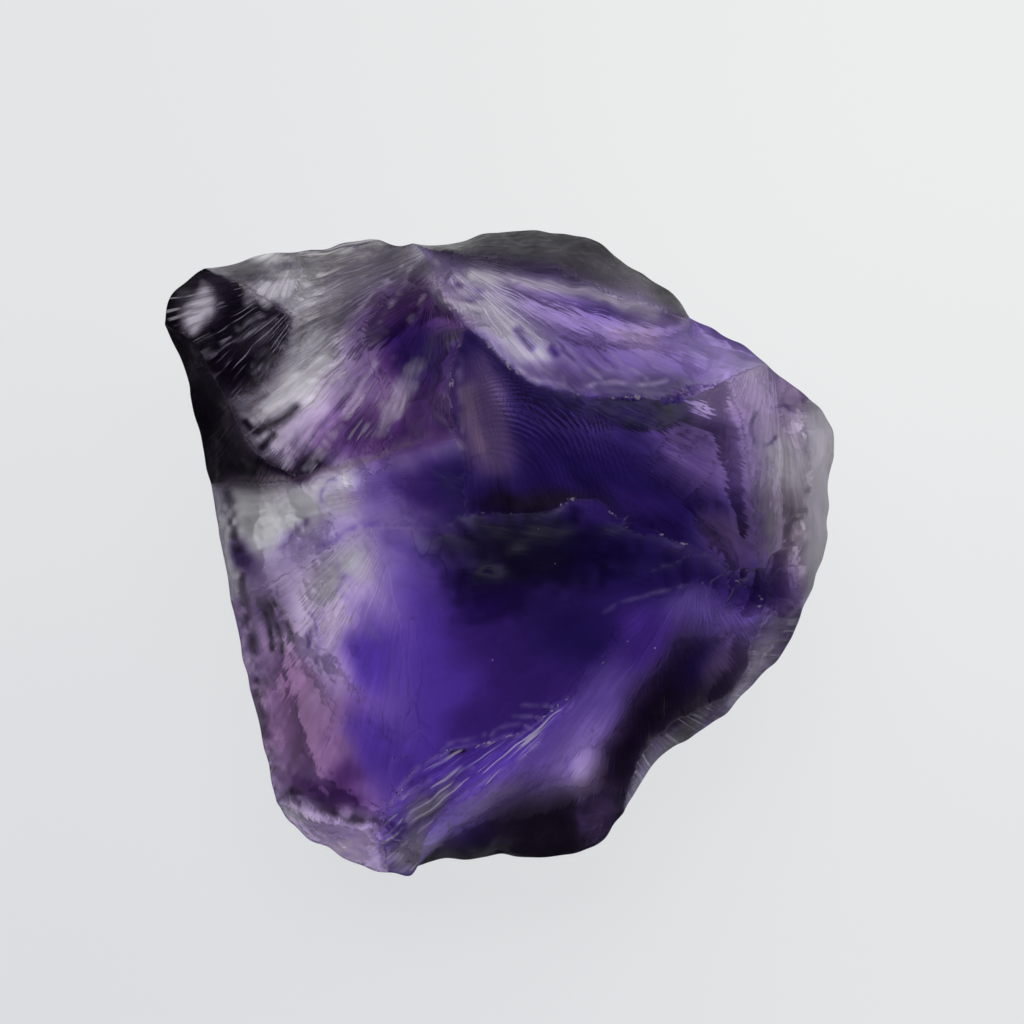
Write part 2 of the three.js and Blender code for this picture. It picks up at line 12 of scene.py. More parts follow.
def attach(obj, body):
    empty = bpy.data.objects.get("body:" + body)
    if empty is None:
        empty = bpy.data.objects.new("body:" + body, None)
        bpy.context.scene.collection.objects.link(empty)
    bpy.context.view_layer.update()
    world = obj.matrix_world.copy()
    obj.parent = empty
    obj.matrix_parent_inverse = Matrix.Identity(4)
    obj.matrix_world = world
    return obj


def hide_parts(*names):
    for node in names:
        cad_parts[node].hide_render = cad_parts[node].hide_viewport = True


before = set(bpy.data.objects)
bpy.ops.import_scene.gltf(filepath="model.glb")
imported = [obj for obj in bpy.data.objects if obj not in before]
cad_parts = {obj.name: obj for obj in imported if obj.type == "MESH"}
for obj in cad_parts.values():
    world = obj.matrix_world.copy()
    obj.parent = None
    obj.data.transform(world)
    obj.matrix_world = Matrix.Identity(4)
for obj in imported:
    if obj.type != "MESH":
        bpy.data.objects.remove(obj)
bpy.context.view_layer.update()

# Driving dimensions, in millimetres
width = 24.0
depth = 23.2
height = 13.0
floor = 0.0
metre = 1000

# Fineness of the mesh, and how it is fitted to the ridges
upper_rings = 150
lower_rings = 76
rim_count = 900
steps_per_bend = 8
snap_rounds = 3
relax_rounds = 3
halvings = 12
batch = 500
least_gap = 1e-12
sharp_angle = radians(20)

west = -width / 2
east = width / 2
north = depth / 2
south = -depth / 2
crest = height

# Corners of the rim, where the upper faces and the lower faces meet
tip = (-3.1, 11.2, 6.8)
blade_end = (6.8, 8.5, 7.9)
east_top = (9.6, 6.8, 7.6)
bevel_top = (11.0, 5.7, 6.7)
bevel_foot = (10.9, -1.9, 4.6)
lobe = (4.4, -9.3, 4.1)
stub_east = (-3.0, -11.2, 3.1)
stub_west = (-4.0, -11.5, 3.0)
heel = (-8.1, -8.9, 3.5)
waist = (-9.7, -1.6, 4.8)
hip = (-10.4, 2.6, 5.7)
west_point = (west, 8.3, 5.9)
block_top = (-10.6, 10.3, 5.9)
pale_top = (-7.2, 10.9, 6.2)

# Corners on the upper side
hook = (-2.3, 9.8, 9.2)
notch = (-1.2, 8.1, 11.1)
shoulder = (8.0, 6.2, 10.7)
saddle = (-1.4, 4.2, 11.9)
col = (-1.2, 1.5, 11.2)
east_fork = (9.6, -1.7, 6.4)
fringe_fork = (8.9, -3.2, 5.9)
low_fork = (2.8, -4.8, 7.4)
foot = (-4.0, -9.0, 5.2)
knee = (-4.6, 1.0, 8.9)
cheek = (-7.2, 2.8, 7.8)
brow = (-5.3, 3.3, 9.1)
dark_knee = (-9.7, 5.5, 7.2)
pale_knee = (-7.5, 8.6, 8.0)

# Corners on the lower side
mid_tip = (-1.8, 8.1, 1.5)
mid_back = (5.0, 7.3, 1.8)
mid_east = (7.7, 4.5, 1.6)
mid_foot = (8.1, -1.6, 1.2)
mid_lobe = (3.9, -7.6, 0.9)
mid_stub = (-2.2, -8.9, 0.8)
mid_heel = (-5.9, -7.7, 1.0)
mid_west = (-7.3, -1.6, 1.3)
mid_dark = (-7.2, 5.1, 1.8)
base_tip = (-1.4, 4.5, floor)
base_back = (3.6, 4.7, floor)
base_east = (5.4, 2.7, floor)
base_foot = (5.6, -1.9, floor)
base_lobe = (3.1, -5.4, floor)
base_stub = (-1.8, -6.4, floor)
base_west = (-4.9, -3.0, floor)
base_dark = (-4.5, 2.0, floor)

# The rim, clockwise from the tip
rim = {
    "back": [tip, (-2.5, 11.1, 7.1), (-1.6, 11.2, 7.3), (-0.4, 11.5, 7.5), (1.1, north, 7.7),
        (2.4, 11.5, 7.9), (3.6, 11.1, 8.0), (4.5, 10.4, 8.0), (5.3, 9.9, 8.0), (6.0, 9.5, 8.0),
        blade_end],
    "blade": [blade_end, (8.5, 7.6, 7.9), east_top],
    "right": [east_top, (10.4, 6.2, 7.0), bevel_top],
    "bevel": [bevel_top, (11.6, 5.2, 6.1), (11.9, 4.6, 5.8), (east, 3.6, 5.6), (11.8, 2.6, 5.5),
        (11.8, 1.7, 5.3), (11.7, 0.4, 5.0), (11.4, -0.7, 4.8), bevel_foot],
    "fringe": [bevel_foot, (10.7, -2.5, 4.6), (10.1, -3.6, 4.6), (9.3, -4.5, 4.5), (8.5, -5.3, 4.4),
        (7.7, -6.0, 4.4), (6.8, -6.6, 4.3), (5.9, -7.2, 4.2), (5.0, -8.3, 4.1), lobe],
    "shadow": [lobe, (3.7, -10.2, 4.0), (3.2, -10.6, 3.9), (2.2, -10.8, 3.9), (1.3, -10.9, 3.8),
        (0.0, -10.8, 3.7), (-1.1, -11.0, 3.5), (-2.2, -11.0, 3.3), stub_east],
    "stub": [stub_east, (-3.3, south, 3.0), stub_west],
    "sliver": [stub_west, (-5.0, -11.3, 3.0), (-5.9, -10.8, 3.0), (-7.0, -10.2, 3.1),
        (-7.7, -9.6, 3.2), heel],
    "left": [heel, (-8.2, -8.4, 3.6), (-8.4, -7.4, 3.8), (-8.7, -5.9, 4.0), (-9.1, -4.5, 4.2),
        (-9.4, -3.0, 4.4), waist],
    "band": [waist, (-9.9, -0.1, 5.1), (-10.2, 1.3, 5.4), hip],
    "dark": [hip, (-10.7, 4.2, 6.0), (-11.0, 5.4, 6.2), (-11.3, 6.6, 6.2), (-11.7, 7.6, 6.0),
        west_point],
    "block": [west_point, (-11.8, 9.3, 5.9), (-11.2, 9.9, 5.9), block_top],
    "pale": [block_top, (-9.6, 10.5, 5.9), (-8.6, 10.8, 6.1), pale_top],
    "sky": [pale_top, (-6.5, 11.0, 6.3), (-5.4, 11.2, 6.4), (-4.5, 11.3, 6.5), (-3.6, 11.1, 6.7), tip],
}

# The ridges of the upper side
ridge = {
    "hook_tip": [tip, (-2.6, 10.6, 8.2), hook],
    "hook_side": [hook, (-1.9, 9.1, 10.1), notch],
    "crown": [notch, (-0.2, 7.3, 11.9), (0.7, 6.4, 12.6), (1.6, 5.9, crest), (2.7, 5.7, crest),
        (4.3, 5.6, 12.8), (5.8, 5.5, 12.3), (6.9, 5.9, 11.5), shoulder],
    "crown_end": [shoulder, (8.8, 6.6, 9.4), east_top],
    "back": [tip, (-2.4, 10.9, 8.2), (-1.6, 10.8, 9.0), (-0.6, 10.6, 9.5), (0.2, 10.3, 9.9),
        (1.9, 10.2, 10.3), (4.0, 9.3, 10.2), (5.4, 8.9, 9.6), (6.2, 8.6, 8.9), blade_end],
    "spine": [notch, (-1.4, 7.4, 11.6), (-1.7, 6.7, 11.9), (-1.7, 5.9, 12.0), (-1.6, 5.1, 12.0),
        saddle],
    "spine_end": [saddle, (-1.3, 2.9, 11.6), col],
    "bowl_brow": [col, (-0.5, 1.6, 11.2), (0.4, 1.5, 11.1), (1.8, 1.7, 11.1), (2.6, 2.0, 11.0),
        (3.5, 2.0, 10.8), (4.0, 1.5, 10.5), (4.8, 1.1, 10.1), (5.6, 0.8, 9.7), (6.8, 0.4, 9.1),
        (7.6, 0.0, 8.6), (8.4, -0.8, 7.7), (9.0, -1.2, 7.0), east_fork],
    "lilac_top": [east_fork, (8.8, -1.8, 6.9), (8.1, -1.6, 7.4), (7.1, -0.9, 8.2), (6.4, -1.3, 8.2),
        (5.6, -1.6, 8.1), (5.0, -1.9, 8.0), (4.5, -2.4, 7.9), (4.2, -3.2, 7.8), (3.6, -3.9, 7.6),
        low_fork],
    "lilac_side": [low_fork, (2.1, -5.8, 7.1), (1.3, -6.8, 6.8), (0.2, -7.7, 6.4), (-1.0, -8.6, 6.0),
        (-2.1, -9.3, 5.4), (-2.7, -10.2, 4.7), stub_east],
    "feather_top": [low_fork, (1.8, -5.6, 6.9), (0.6, -6.3, 6.5), (-0.4, -6.7, 6.2),
        (-1.8, -7.0, 5.9), (-2.4, -7.4, 5.8), (-3.4, -8.2, 5.5), foot],
    "feather_side": [foot, (-4.2, -9.6, 4.8), (-4.3, -10.6, 4.0), stub_west],
    "band_top": [hip, (-9.5, 2.6, 6.3), (-8.6, 2.6, 7.0), cheek],
    "band_brow": [cheek, (-6.1, 3.1, 8.6), brow],
    "band_crest": [brow, (-4.1, 3.6, 9.9), (-2.9, 3.9, 10.8), saddle],
    "band_foot": [waist, (-8.8, -1.2, 5.5), (-7.6, -0.6, 6.6), (-6.4, 0.1, 7.6), (-5.4, 0.6, 8.3),
        knee],
    "band_end": [knee, (-3.4, 1.0, 9.6), (-2.2, 1.0, 10.4), col],
    "shin": [knee, (-4.0, -0.3, 8.6), (-3.7, -1.6, 8.2), (-3.5, -3.0, 7.7), (-3.4, -5.2, 6.9),
        (-3.7, -7.2, 6.1), foot],
    "violet_west": [hook, (-3.4, 9.4, 9.3), (-4.3, 8.9, 9.2), (-4.8, 8.0, 9.0), (-4.6, 6.9, 9.0),
        (-4.1, 5.8, 9.2), (-4.2, 4.7, 9.3), (-4.7, 3.9, 9.2), brow],
    "dark_top": [west_point, (-11.3, 7.9, 6.4), (-10.6, 7.2, 6.8), (-10.2, 6.3, 7.0), dark_knee],
    "dark_side": [dark_knee, (-9.2, 4.5, 7.4), (-8.7, 3.7, 7.5), (-7.9, 3.2, 7.7), cheek],
    "block_side": [dark_knee, (-8.8, 5.9, 8.0), (-8.2, 6.5, 8.3), (-7.6, 7.6, 8.2), pale_knee],
    "pale_foot": [pale_knee, (-8.6, 9.3, 7.5), (-9.5, 9.8, 6.8), block_top],
    "pale_side": [pale_top, (-7.1, 9.9, 7.4), pale_knee],
    "bevel": [bevel_top, (10.9, 4.9, 6.9), (11.0, 4.0, 6.9), (11.1, 2.5, 6.7), (11.0, 1.3, 6.4),
        (10.8, 0.4, 6.2), (10.7, -0.7, 5.6), bevel_foot],
    "right_side": [shoulder, (8.5, 4.9, 10.1), (8.9, 3.1, 9.3), (9.2, 0.6, 8.1), east_fork],
    "right_foot": [east_fork, (10.3, -1.8, 5.4), bevel_foot],
    "fringe_end": [east_fork, (9.4, -2.5, 6.2), fringe_fork],
    "lilac_foot": [fringe_fork, (7.9, -2.8, 6.6), (6.8, -2.8, 7.1), (6.2, -2.9, 7.2),
        (6.0, -3.6, 7.0), (5.1, -4.5, 6.6), (4.8, -5.0, 6.4), (4.4, -6.0, 6.1), (3.8, -6.9, 5.7),
        (3.2, -8.2, 5.2), (1.9, -8.4, 5.3), (1.0, -8.7, 5.2), (-0.5, -9.2, 4.9), (-1.8, -10.2, 4.2),
        stub_east],
    "fringe_top": [fringe_fork, (8.9, -3.9, 5.6), (8.4, -4.8, 5.4), (7.2, -5.5, 5.4),
        (6.2, -6.0, 5.4), (5.2, -7.0, 5.3), (4.7, -8.2, 4.8), lobe],
    "sliver_top": [heel, (-6.9, -9.4, 4.1), (-6.3, -9.6, 4.3), (-5.1, -9.9, 4.4), (-4.5, -10.4, 4.0),
        stub_west],
}

# The ridges of the lower side: from the rim inward, around the middle, and down to the base
keel = {
    "tip": [tip, (-2.6, 9.6, 4.0), mid_tip],
    "back": [blade_end, (6.0, 7.9, 4.6), mid_back],
    "bevel": [bevel_top, (9.5, 5.1, 3.8), mid_east],
    "foot": [bevel_foot, (9.6, -1.8, 2.6), mid_foot],
    "lobe": [lobe, (4.2, -8.5, 2.1), mid_lobe],
    "stub": [stub_east, (-2.6, -10.1, 1.8), mid_stub],
    "heel": [heel, (-7.0, -8.3, 2.2), mid_heel],
    "waist": [waist, (-8.6, -1.6, 2.9), mid_west],
    "west": [west_point, (-9.6, 6.8, 3.6), mid_dark],
    "mid_back": [mid_tip, (1.6, 8.4, 1.9), mid_back],
    "mid_blade": [mid_back, (6.7, 6.0, 1.5), mid_east],
    "mid_right": [mid_east, (8.6, 1.5, 1.2), mid_foot],
    "mid_fringe": [mid_foot, (6.5, -4.8, 1.1), mid_lobe],
    "mid_shadow": [mid_lobe, (1.1, -8.7, 0.8), mid_stub],
    "mid_sliver": [mid_stub, (-4.1, -8.6, 0.7), mid_heel],
    "mid_left": [mid_heel, (-7.0, -4.8, 1.3), mid_west],
    "mid_dark": [mid_west, (-7.6, 1.8, 1.7), mid_dark],
    "mid_sky": [mid_dark, (-4.7, 7.1, 1.9), mid_tip],
    "tip_foot": [mid_tip, (-1.5, 6.3, 0.7), base_tip],
    "back_foot": [mid_back, (4.4, 6.0, 0.8), base_back],
    "east_foot": [mid_east, (6.6, 3.6, 0.7), base_east],
    "foot_end": [mid_foot, (6.8, -1.8, 0.5), base_foot],
    "lobe_foot": [mid_lobe, (3.5, -6.5, 0.4), base_lobe],
    "stub_foot": [mid_stub, (-2.0, -7.7, 0.3), base_stub],
    "west_foot": [mid_west, (-6.1, -2.4, 0.6), base_west],
    "dark_foot": [mid_dark, (-5.8, 3.5, 0.8), base_dark],
    "base_back": [base_tip, base_back],
    "base_blade": [base_back, base_east],
    "base_right": [base_east, base_foot],
    "base_fringe": [base_foot, base_lobe],
    "base_shadow": [base_lobe, base_stub],
    "base_left": [base_stub, base_west],
    "base_dark": [base_west, base_dark],
    "base_sky": [base_dark, base_tip],
}


def faces_from(inner, table):
    """Faces, each with the lines around it and how far its middle is hollowed.

    A line is named by the inner lines, or with rim_ before a stretch of the rim, and a minus runs it
    from its end to its start.
    """
    lines = {"rim_" + name: line for name, line in rim.items()} | inner
    made = {}
    for name, (hollow, *around) in table.items():
        loop = [lines[part.lstrip("-")][::-1 if part[0] == "-" else 1] for part in around]
        made[name] = {"loop": loop, "hollow": hollow}
    return made


upper_faces = faces_from(ridge, {
    "blade": (0.5, "back", "rim_blade", "-crown_end", "-crown", "-hook_side", "-hook_tip"),
    "back": (-0.3, "rim_back", "-back"),
    "prints": (0.6, "crown", "right_side", "-bowl_brow", "-spine_end", "-spine"),
    "right": (0.2, "crown_end", "rim_right", "bevel", "-right_foot", "-right_side"),
    "bevel": (-0.15, "rim_bevel", "-bevel"),
    "bowl": (0.6, "bowl_brow", "lilac_top", "feather_top", "-shin", "band_end"),
    "feather": (0.1, "lilac_side", "rim_stub", "-feather_side", "-feather_top"),
    "lilac": (-0.1, "fringe_end", "lilac_foot", "-lilac_side", "-lilac_top"),
    "shadow": (-0.2, "fringe_top", "rim_shadow", "-lilac_foot"),
    "fringe": (-0.1, "right_foot", "rim_fringe", "-fringe_top", "-fringe_end"),
    "left": (0.3, "band_foot", "shin", "feather_side", "-sliver_top", "rim_left"),
    "sliver": (-0.1, "sliver_top", "rim_sliver"),
    "band": (0.0, "band_top", "band_brow", "band_crest", "spine_end", "-band_end", "-band_foot",
        "rim_band"),
    "violet": (0.9, "hook_side", "spine", "-band_crest", "-violet_west"),
    "stripes": (0.3, "rim_sky", "hook_tip", "violet_west", "-band_brow", "-dark_side", "block_side",
        "-pale_side"),
    "dark": (0.0, "rim_dark", "dark_top", "dark_side", "-band_top"),
    "block": (0.1, "rim_block", "-pale_foot", "-block_side", "-dark_top"),
    "pale": (0.1, "rim_pale", "pale_side", "pale_foot"),
})

lower_faces = faces_from(keel, {
    "base": (0.0, "base_back", "base_blade", "base_right", "base_fringe", "base_shadow", "base_left",
        "base_dark", "base_sky"),
    "back_step": (0.15, "mid_back", "back_foot", "-base_back", "-tip_foot"),
    "blade_step": (0.1, "mid_blade", "east_foot", "-base_blade", "-back_foot"),
    "right_step": (0.15, "mid_right", "foot_end", "-base_right", "-east_foot"),
    "fringe_step": (0.15, "mid_fringe", "lobe_foot", "-base_fringe", "-foot_end"),
    "shadow_step": (0.1, "mid_shadow", "stub_foot", "-base_shadow", "-lobe_foot"),
    "left_step": (0.15, "mid_sliver", "mid_left", "west_foot", "-base_left", "-stub_foot"),
    "dark_step": (0.1, "mid_dark", "dark_foot", "-base_dark", "-west_foot"),
    "sky_step": (0.15, "mid_sky", "tip_foot", "-base_sky", "-dark_foot"),
    "back_under": (0.4, "rim_back", "back", "-mid_back", "-tip"),
    "blade_under": (0.2, "rim_blade", "rim_right", "bevel", "-mid_blade", "-back"),
    "bevel_under": (0.3, "rim_bevel", "foot", "-mid_right", "-bevel"),
    "fringe_under": (0.3, "rim_fringe", "lobe", "-mid_fringe", "-foot"),
    "shadow_under": (0.2, "rim_shadow", "stub", "-mid_shadow", "-lobe"),
    "sliver_under": (0.2, "rim_stub", "rim_sliver", "heel", "-mid_sliver", "-stub"),
    "left_under": (0.25, "rim_left", "waist", "-mid_left", "-heel"),
    "dark_under": (0.3, "rim_band", "rim_dark", "west", "-mid_dark", "-waist"),
    "sky_under": (0.4, "rim_block", "rim_pale", "rim_sky", "tip", "-mid_sky", "-west"),
})

# Chips, knobs and pits on the upper side: middle, half length, half breadth, turn and rise
marks = {
    "leaf_chip": {"x": -3.2, "y": 5.6, "long": 1.4, "broad": 0.7, "turn": 1.1, "rise": -0.3},
    "band_knob": {"x": -5.6, "y": 2.3, "long": 0.9, "broad": 0.7, "turn": 0.4, "rise": 0.3},
    "left_pit": {"x": -4.8, "y": -3.1, "long": 0.8, "broad": 0.7, "turn": 0.0, "rise": -0.25},
    "bowl_dent": {"x": -0.4, "y": -1.2, "long": 1.3, "broad": 0.9, "turn": 0.6, "rise": -0.35},
    "rim_pit_upper": {"x": -9.0, "y": 0.8, "long": 0.8, "broad": 0.6, "turn": 1.4, "rise": -0.25},
    "rim_pit_lower": {"x": -8.3, "y": -4.9, "long": 0.9, "broad": 0.6, "turn": 1.3, "rise": -0.25},
    "foot_chip": {"x": -3.9, "y": -9.5, "long": 0.8, "broad": 0.6, "turn": 0.9, "rise": -0.25},
    "crease_gash": {"x": -8.3, "y": 4.4, "long": 1.1, "broad": 0.6, "turn": 0.9, "rise": -0.3},
}

# Tints, each as the colour that it shows over a pale floor
palette = {
    "white": (215, 212, 212),
    "ash": (158, 152, 165),
    "mist": (160, 136, 190),
    "rose": (154, 122, 170),
    "pearl": (186, 164, 208),
    "bloom": (188, 166, 236),
    "lilac": (128, 104, 168),
    "iris": (128, 100, 182),
    "iris_dark": (88, 66, 142),
    "mauve": (112, 78, 122),
    "mauve_dark": (60, 44, 78),
    "umber": (94, 80, 94),
    "haze": (132, 124, 138),
    "heather": (108, 86, 130),
    "smoke": (98, 92, 106),
    "slate": (52, 48, 58),
    "violet": (70, 50, 100),
    "indigo": (56, 32, 121),
    "royal": (45, 23, 98),
    "plum": (58, 28, 80),
    "deep": (31, 14, 72),
    "night": (17, 8, 52),
    "soot": (30, 25, 34),
    "murk": (18, 12, 38),
    "coal": (15, 10, 21),
    "ink": (5, 2, 10),
}
clear_look = (0.42, 0.38, 0.48)
least_tint = 0.0005

# Each face has a tint, and hackles that fan out from a point: their spacing, their rise, and as streak
# their strength in the colour. Then it has lumps, and from 0 to 1 the frost that dulls it and the peel
# of its fine skin. A zone has a middle, half lengths, a turn in degrees and a tint.
looks = {
    "blade": {"tint": "lilac", "fan": (-2.2, 10.8), "spacing": 0.5, "rise": 0.04, "lumps": 0.03,
        "streak": 0.5, "frost": 0.15, "peel": 0.2, "zones": [
            # The pearl zone over the hook and the white zone beside the crown are painted sheen, standing
            # in for reflections of the window
            (-1.2, 9.2, 1.5, 1.1, -30, "pearl"),
            (0.7, 7.6, 2.2, 0.9, -45, "white"),
            (2.3, 6.2, 1.6, 0.4, -20, "violet"),
            (3.2, 9.1, 2.9, 0.3, -22, "iris_dark"),
            (5.2, 6.0, 1.6, 0.4, 0, "violet"),
            (5.2, 7.6, 1.4, 0.7, -25, "mist"),
            (7.4, 7.3, 1.7, 1.2, -20, "iris")]},
    "back": {"tint": "soot", "fan": (-4.3, 11.0), "spacing": 1.2, "rise": 0.05, "lumps": 0.08,
        "streak": 0.3, "frost": 0.6, "peel": 0.3, "zones": [
            (5.0, 9.3, 1.4, 0.5, -30, "haze"),
            (0.0, 11.0, 1.6, 0.4, 5, "coal"),
            (3.6, 10.4, 0.9, 0.4, -30, "slate")]},
    "prints": {"tint": "night", "fan": (-1.3, 7.8), "spacing": 0.4, "rise": 0.03, "lumps": 0.04,
        "streak": 0.5, "frost": 0.0, "peel": 0.1, "zones": [
            (-0.5, 5.6, 1.6, 0.9, -70, "mauve_dark"),
            (-0.4, 3.9, 1.3, 0.9, -50, "mauve_dark"),
            (4.4, 5.0, 1.8, 0.6, -8, "indigo"),
            (7.1, 3.7, 1.9, 1.4, -30, "violet"),
            (8.5, 3.4, 2.2, 0.5, -84, "lilac"),
            (8.0, 5.6, 1.8, 1.1, -20, "mist"),
            (8.0, 0.4, 1.3, 0.9, -60, "violet"),
            (1.6, 1.8, 2.4, 0.5, -5, "coal"),
            (4.9, 1.9, 1.2, 0.5, -25, "deep"),
            (7.9, 0.9, 1.0, 0.6, -60, "mauve_dark")]},
    "right": {"tint": "mist", "fan": (9.7, 9.2), "spacing": 0.6, "rise": 0.05, "lumps": 0.05,
        "streak": 0.5, "frost": 0.25, "peel": 0.5, "zones": [
            (9.6, 4.9, 1.6, 0.8, -60, "mist"),
            (10.2, 3.1, 1.6, 0.9, -80, "pearl"),
            (9.9, 1.2, 1.3, 0.9, -60, "umber"),
            (9.9, -0.8, 1.2, 0.8, -60, "violet"),
            (9.5, -1.6, 0.9, 0.5, -30, "deep")]},
    "bevel": {"tint": "white", "fan": (11.3, 14.6), "spacing": 0.8, "rise": 0.03, "lumps": 0.03,
        "streak": 0.2, "frost": 0.9, "peel": 0.1, "zones": [
            (11.7, 4.7, 1.1, 0.3, -85, "white"),
            (11.2, -0.5, 1.3, 0.4, -75, "ash")]},
    "bowl": {"tint": "deep", "fan": (7.2, -0.1), "spacing": 1.5, "rise": 0.03, "lumps": 0.05,
        "streak": 0.15, "frost": 0.0, "peel": 0.0, "zones": [
            (-3.3, -0.2, 2.0, 1.3, -60, "iris_dark"),
            (-2.9, -2.8, 2.2, 1.5, -80, "indigo"),
            (-2.5, -5.6, 2.5, 1.7, 60, "indigo"),
            (0.2, -5.6, 2.4, 1.2, 20, "deep"),
            (1.8, 0.3, 3.8, 1.3, -6, "night"),
            (1.3, 0.2, 3.0, 1.0, -4, "murk"),
            (4.7, -0.3, 2.9, 1.2, -15, "night"),
            (2.7, -2.7, 1.7, 1.2, -30, "night")]},
    "lilac": {"tint": "iris_dark", "fan": (7.2, -0.1), "spacing": 0.5, "rise": 0.03, "lumps": 0.03,
        "streak": 0.5, "frost": 0.15, "peel": 0.1, "zones": [
            (5.2, -2.8, 1.5, 1.0, 60, "royal"),
            (7.8, -1.8, 1.6, 0.7, 0, "iris_dark"),
            (2.7, -7.4, 1.6, 0.6, 60, "lilac"),
            # The mist zone is a painted highlight
            (3.2, -7.7, 0.8, 0.5, 70, "mist"),
            (0.0, -8.6, 1.3, 0.5, 20, "violet")]},
    # Painted shade: the near-black tints of the next face stand in for light lost inside the stone
    "shadow": {"tint": "coal", "fan": (5.4, -0.1), "spacing": 0.7, "rise": 0.06, "lumps": 0.06,
        "streak": 0.5, "frost": 0.1, "peel": 0.1, "zones": [
            (8.1, -3.4, 1.7, 0.9, 50, "mauve_dark"),
            (6.8, -4.1, 1.8, 0.4, 60, "night"),
            (5.2, -6.2, 2.4, 0.9, 58, "ink"),
            (3.7, -9.4, 1.3, 0.7, 70, "mauve_dark"),
            (-1.2, -10.3, 1.1, 0.4, 10, "night")]},
    "fringe": {"tint": "violet", "fan": (2.2, -3.0), "spacing": 0.4, "rise": 0.06, "lumps": 0.06,
        "streak": 0.8, "frost": 0.2, "peel": 0.2, "zones": [
            (9.3, -3.6, 1.6, 0.6, 55, "ash"),
            (6.8, -6.1, 1.1, 0.4, 50, "soot")]},
    "feather": {"tint": "indigo", "fan": (5.0, -3.0), "spacing": 0.4, "rise": 0.07, "lumps": 0.05,
        "streak": 0.9, "frost": 0.3, "peel": 0.1, "zones": [
            (-3.3, -10.6, 1.1, 0.7, 60, "smoke"),
            (-2.6, -8.9, 1.2, 0.4, 45, "smoke")]},
    "left": {"tint": "mist", "fan": (-2.9, 2.7), "spacing": 0.5, "rise": 0.04, "lumps": 0.05,
        "streak": 0.4, "frost": 0.25, "peel": 0.55, "zones": [
            (-5.4, -0.1, 1.7, 0.9, 50, "ash"),
            (-8.2, -2.0, 0.9, 0.6, -60, "heather"),
            (-8.0, -5.6, 2.4, 0.9, -80, "rose"),
            (-7.4, -4.6, 1.3, 0.7, -80, "mauve"),
            (-4.4, -3.7, 1.7, 1.0, -75, "indigo"),
            (-6.0, -6.5, 2.0, 1.6, -30, "mauve"),
            (-4.3, -7.0, 1.9, 0.9, -65, "indigo"),
            (-5.8, -8.6, 1.9, 0.4, -20, "plum"),
            (-5.4, -7.9, 0.7, 0.5, 0, "plum")]},
    "sliver": {"tint": "mist", "fan": (-2.9, -9.5), "spacing": 0.6, "rise": 0.03, "lumps": 0.03,
        "streak": 0.3, "frost": 0.1, "peel": 0.1, "zones": [
            (-4.2, -9.3, 0.6, 0.4, 0, "ink"),
            (-7.4, -9.2, 0.8, 0.4, 0, "ash")]},
    "band": {"tint": "bloom", "fan": (-1.8, 2.7), "spacing": 1.0, "rise": 0.03, "lumps": 0.05,
        "streak": 0.2, "frost": 0.2, "peel": 0.4, "zones": [
            (-3.9, 2.4, 1.2, 0.9, 20, "iris_dark"),
            (-2.2, 2.4, 1.4, 1.1, -20, "deep"),
            (-1.3, 2.7, 0.9, 0.9, 0, "night"),
            (-9.1, -0.2, 0.9, 0.4, -70, "violet"),
            (-6.2, 0.6, 2.4, 0.6, 25, "lilac"),
            (-5.6, 2.4, 0.5, 0.4, 30, "white")]},
    "violet": {"tint": "plum", "fan": (-2.2, 9.6), "spacing": 0.7, "rise": 0.04, "lumps": 0.05,
        "streak": 0.4, "frost": 0.05, "peel": 0.1, "zones": [
            (-3.6, 5.6, 1.1, 0.4, 62, "white"),
            (-1.8, 5.6, 0.9, 0.4, -80, "mauve"),
            (-2.8, 7.3, 1.3, 1.0, -30, "deep"),
            (-2.4, 4.7, 1.8, 0.7, 30, "plum"),
            (-1.7, 6.2, 0.4, 1.0, 0, "mauve_dark")]},
    "stripes": {"tint": "pearl", "fan": (0.0, 12.1), "spacing": 0.55, "rise": 0.1, "lumps": 0.04,
        "streak": 0.75, "frost": 0.3, "peel": 0.3, "zones": [
            # The haze zones are painted sheen, standing in for reflections of the window
            (-5.6, 10.4, 2.5, 0.8, 0, "haze"),
            (-3.5, 9.9, 1.1, 0.9, -30, "smoke"),
            (-5.8, 8.7, 1.8, 0.8, 40, "haze"),
            (-6.9, 7.3, 1.0, 0.6, 40, "white"),
            (-5.2, 6.2, 1.3, 0.9, 40, "heather"),
            (-7.2, 4.3, 1.7, 0.9, 40, "mist"),
            (-5.4, 4.6, 1.4, 0.8, 50, "plum"),
            (-8.7, 4.8, 1.0, 0.4, -60, "pearl"),
            (-6.8, 3.1, 0.9, 0.4, 30, "ink")]},
    # Painted shade: the near-black tints of the next face stand in for light lost inside the stone
    "dark": {"tint": "soot", "fan": (-6.1, 8.1), "spacing": 0.6, "rise": 0.1, "lumps": 0.1,
        "streak": 0.6, "frost": 0.2, "peel": 0.2, "zones": [
            (-10.6, 7.2, 0.9, 0.3, -70, "slate"),
            (-9.9, 4.6, 1.5, 0.9, -60, "coal")]},
    # Painted shade: the near-black tints of the next face stand in for light lost inside the stone, and
    # its white zone at the west corner is a painted highlight of the window
    "block": {"tint": "coal", "fan": (-6.1, 10.3), "spacing": 0.6, "rise": 0.08, "lumps": 0.08,
        "streak": 0.8, "frost": 0.2, "peel": 0.1, "zones": [
            (-10.8, 8.8, 0.9, 0.5, 60, "white"),
            (-8.5, 7.8, 1.1, 0.2, 45, "smoke"),
            (-8.9, 6.6, 0.7, 0.4, 45, "ink"),
            (-11.4, 9.2, 0.4, 0.6, 0, "slate")]},
    "pale": {"tint": "pearl", "fan": (-7.2, 11.4), "spacing": 0.5, "rise": 0.05, "lumps": 0.08,
        "streak": 0.5, "frost": 0.35, "peel": 0.4, "zones": [
            # The white zone is painted sheen, standing in for a reflection of the window
            (-8.3, 9.4, 0.9, 0.6, 10, "white"),
            (-8.9, 10.4, 1.1, 0.4, 0, "smoke")]},
}

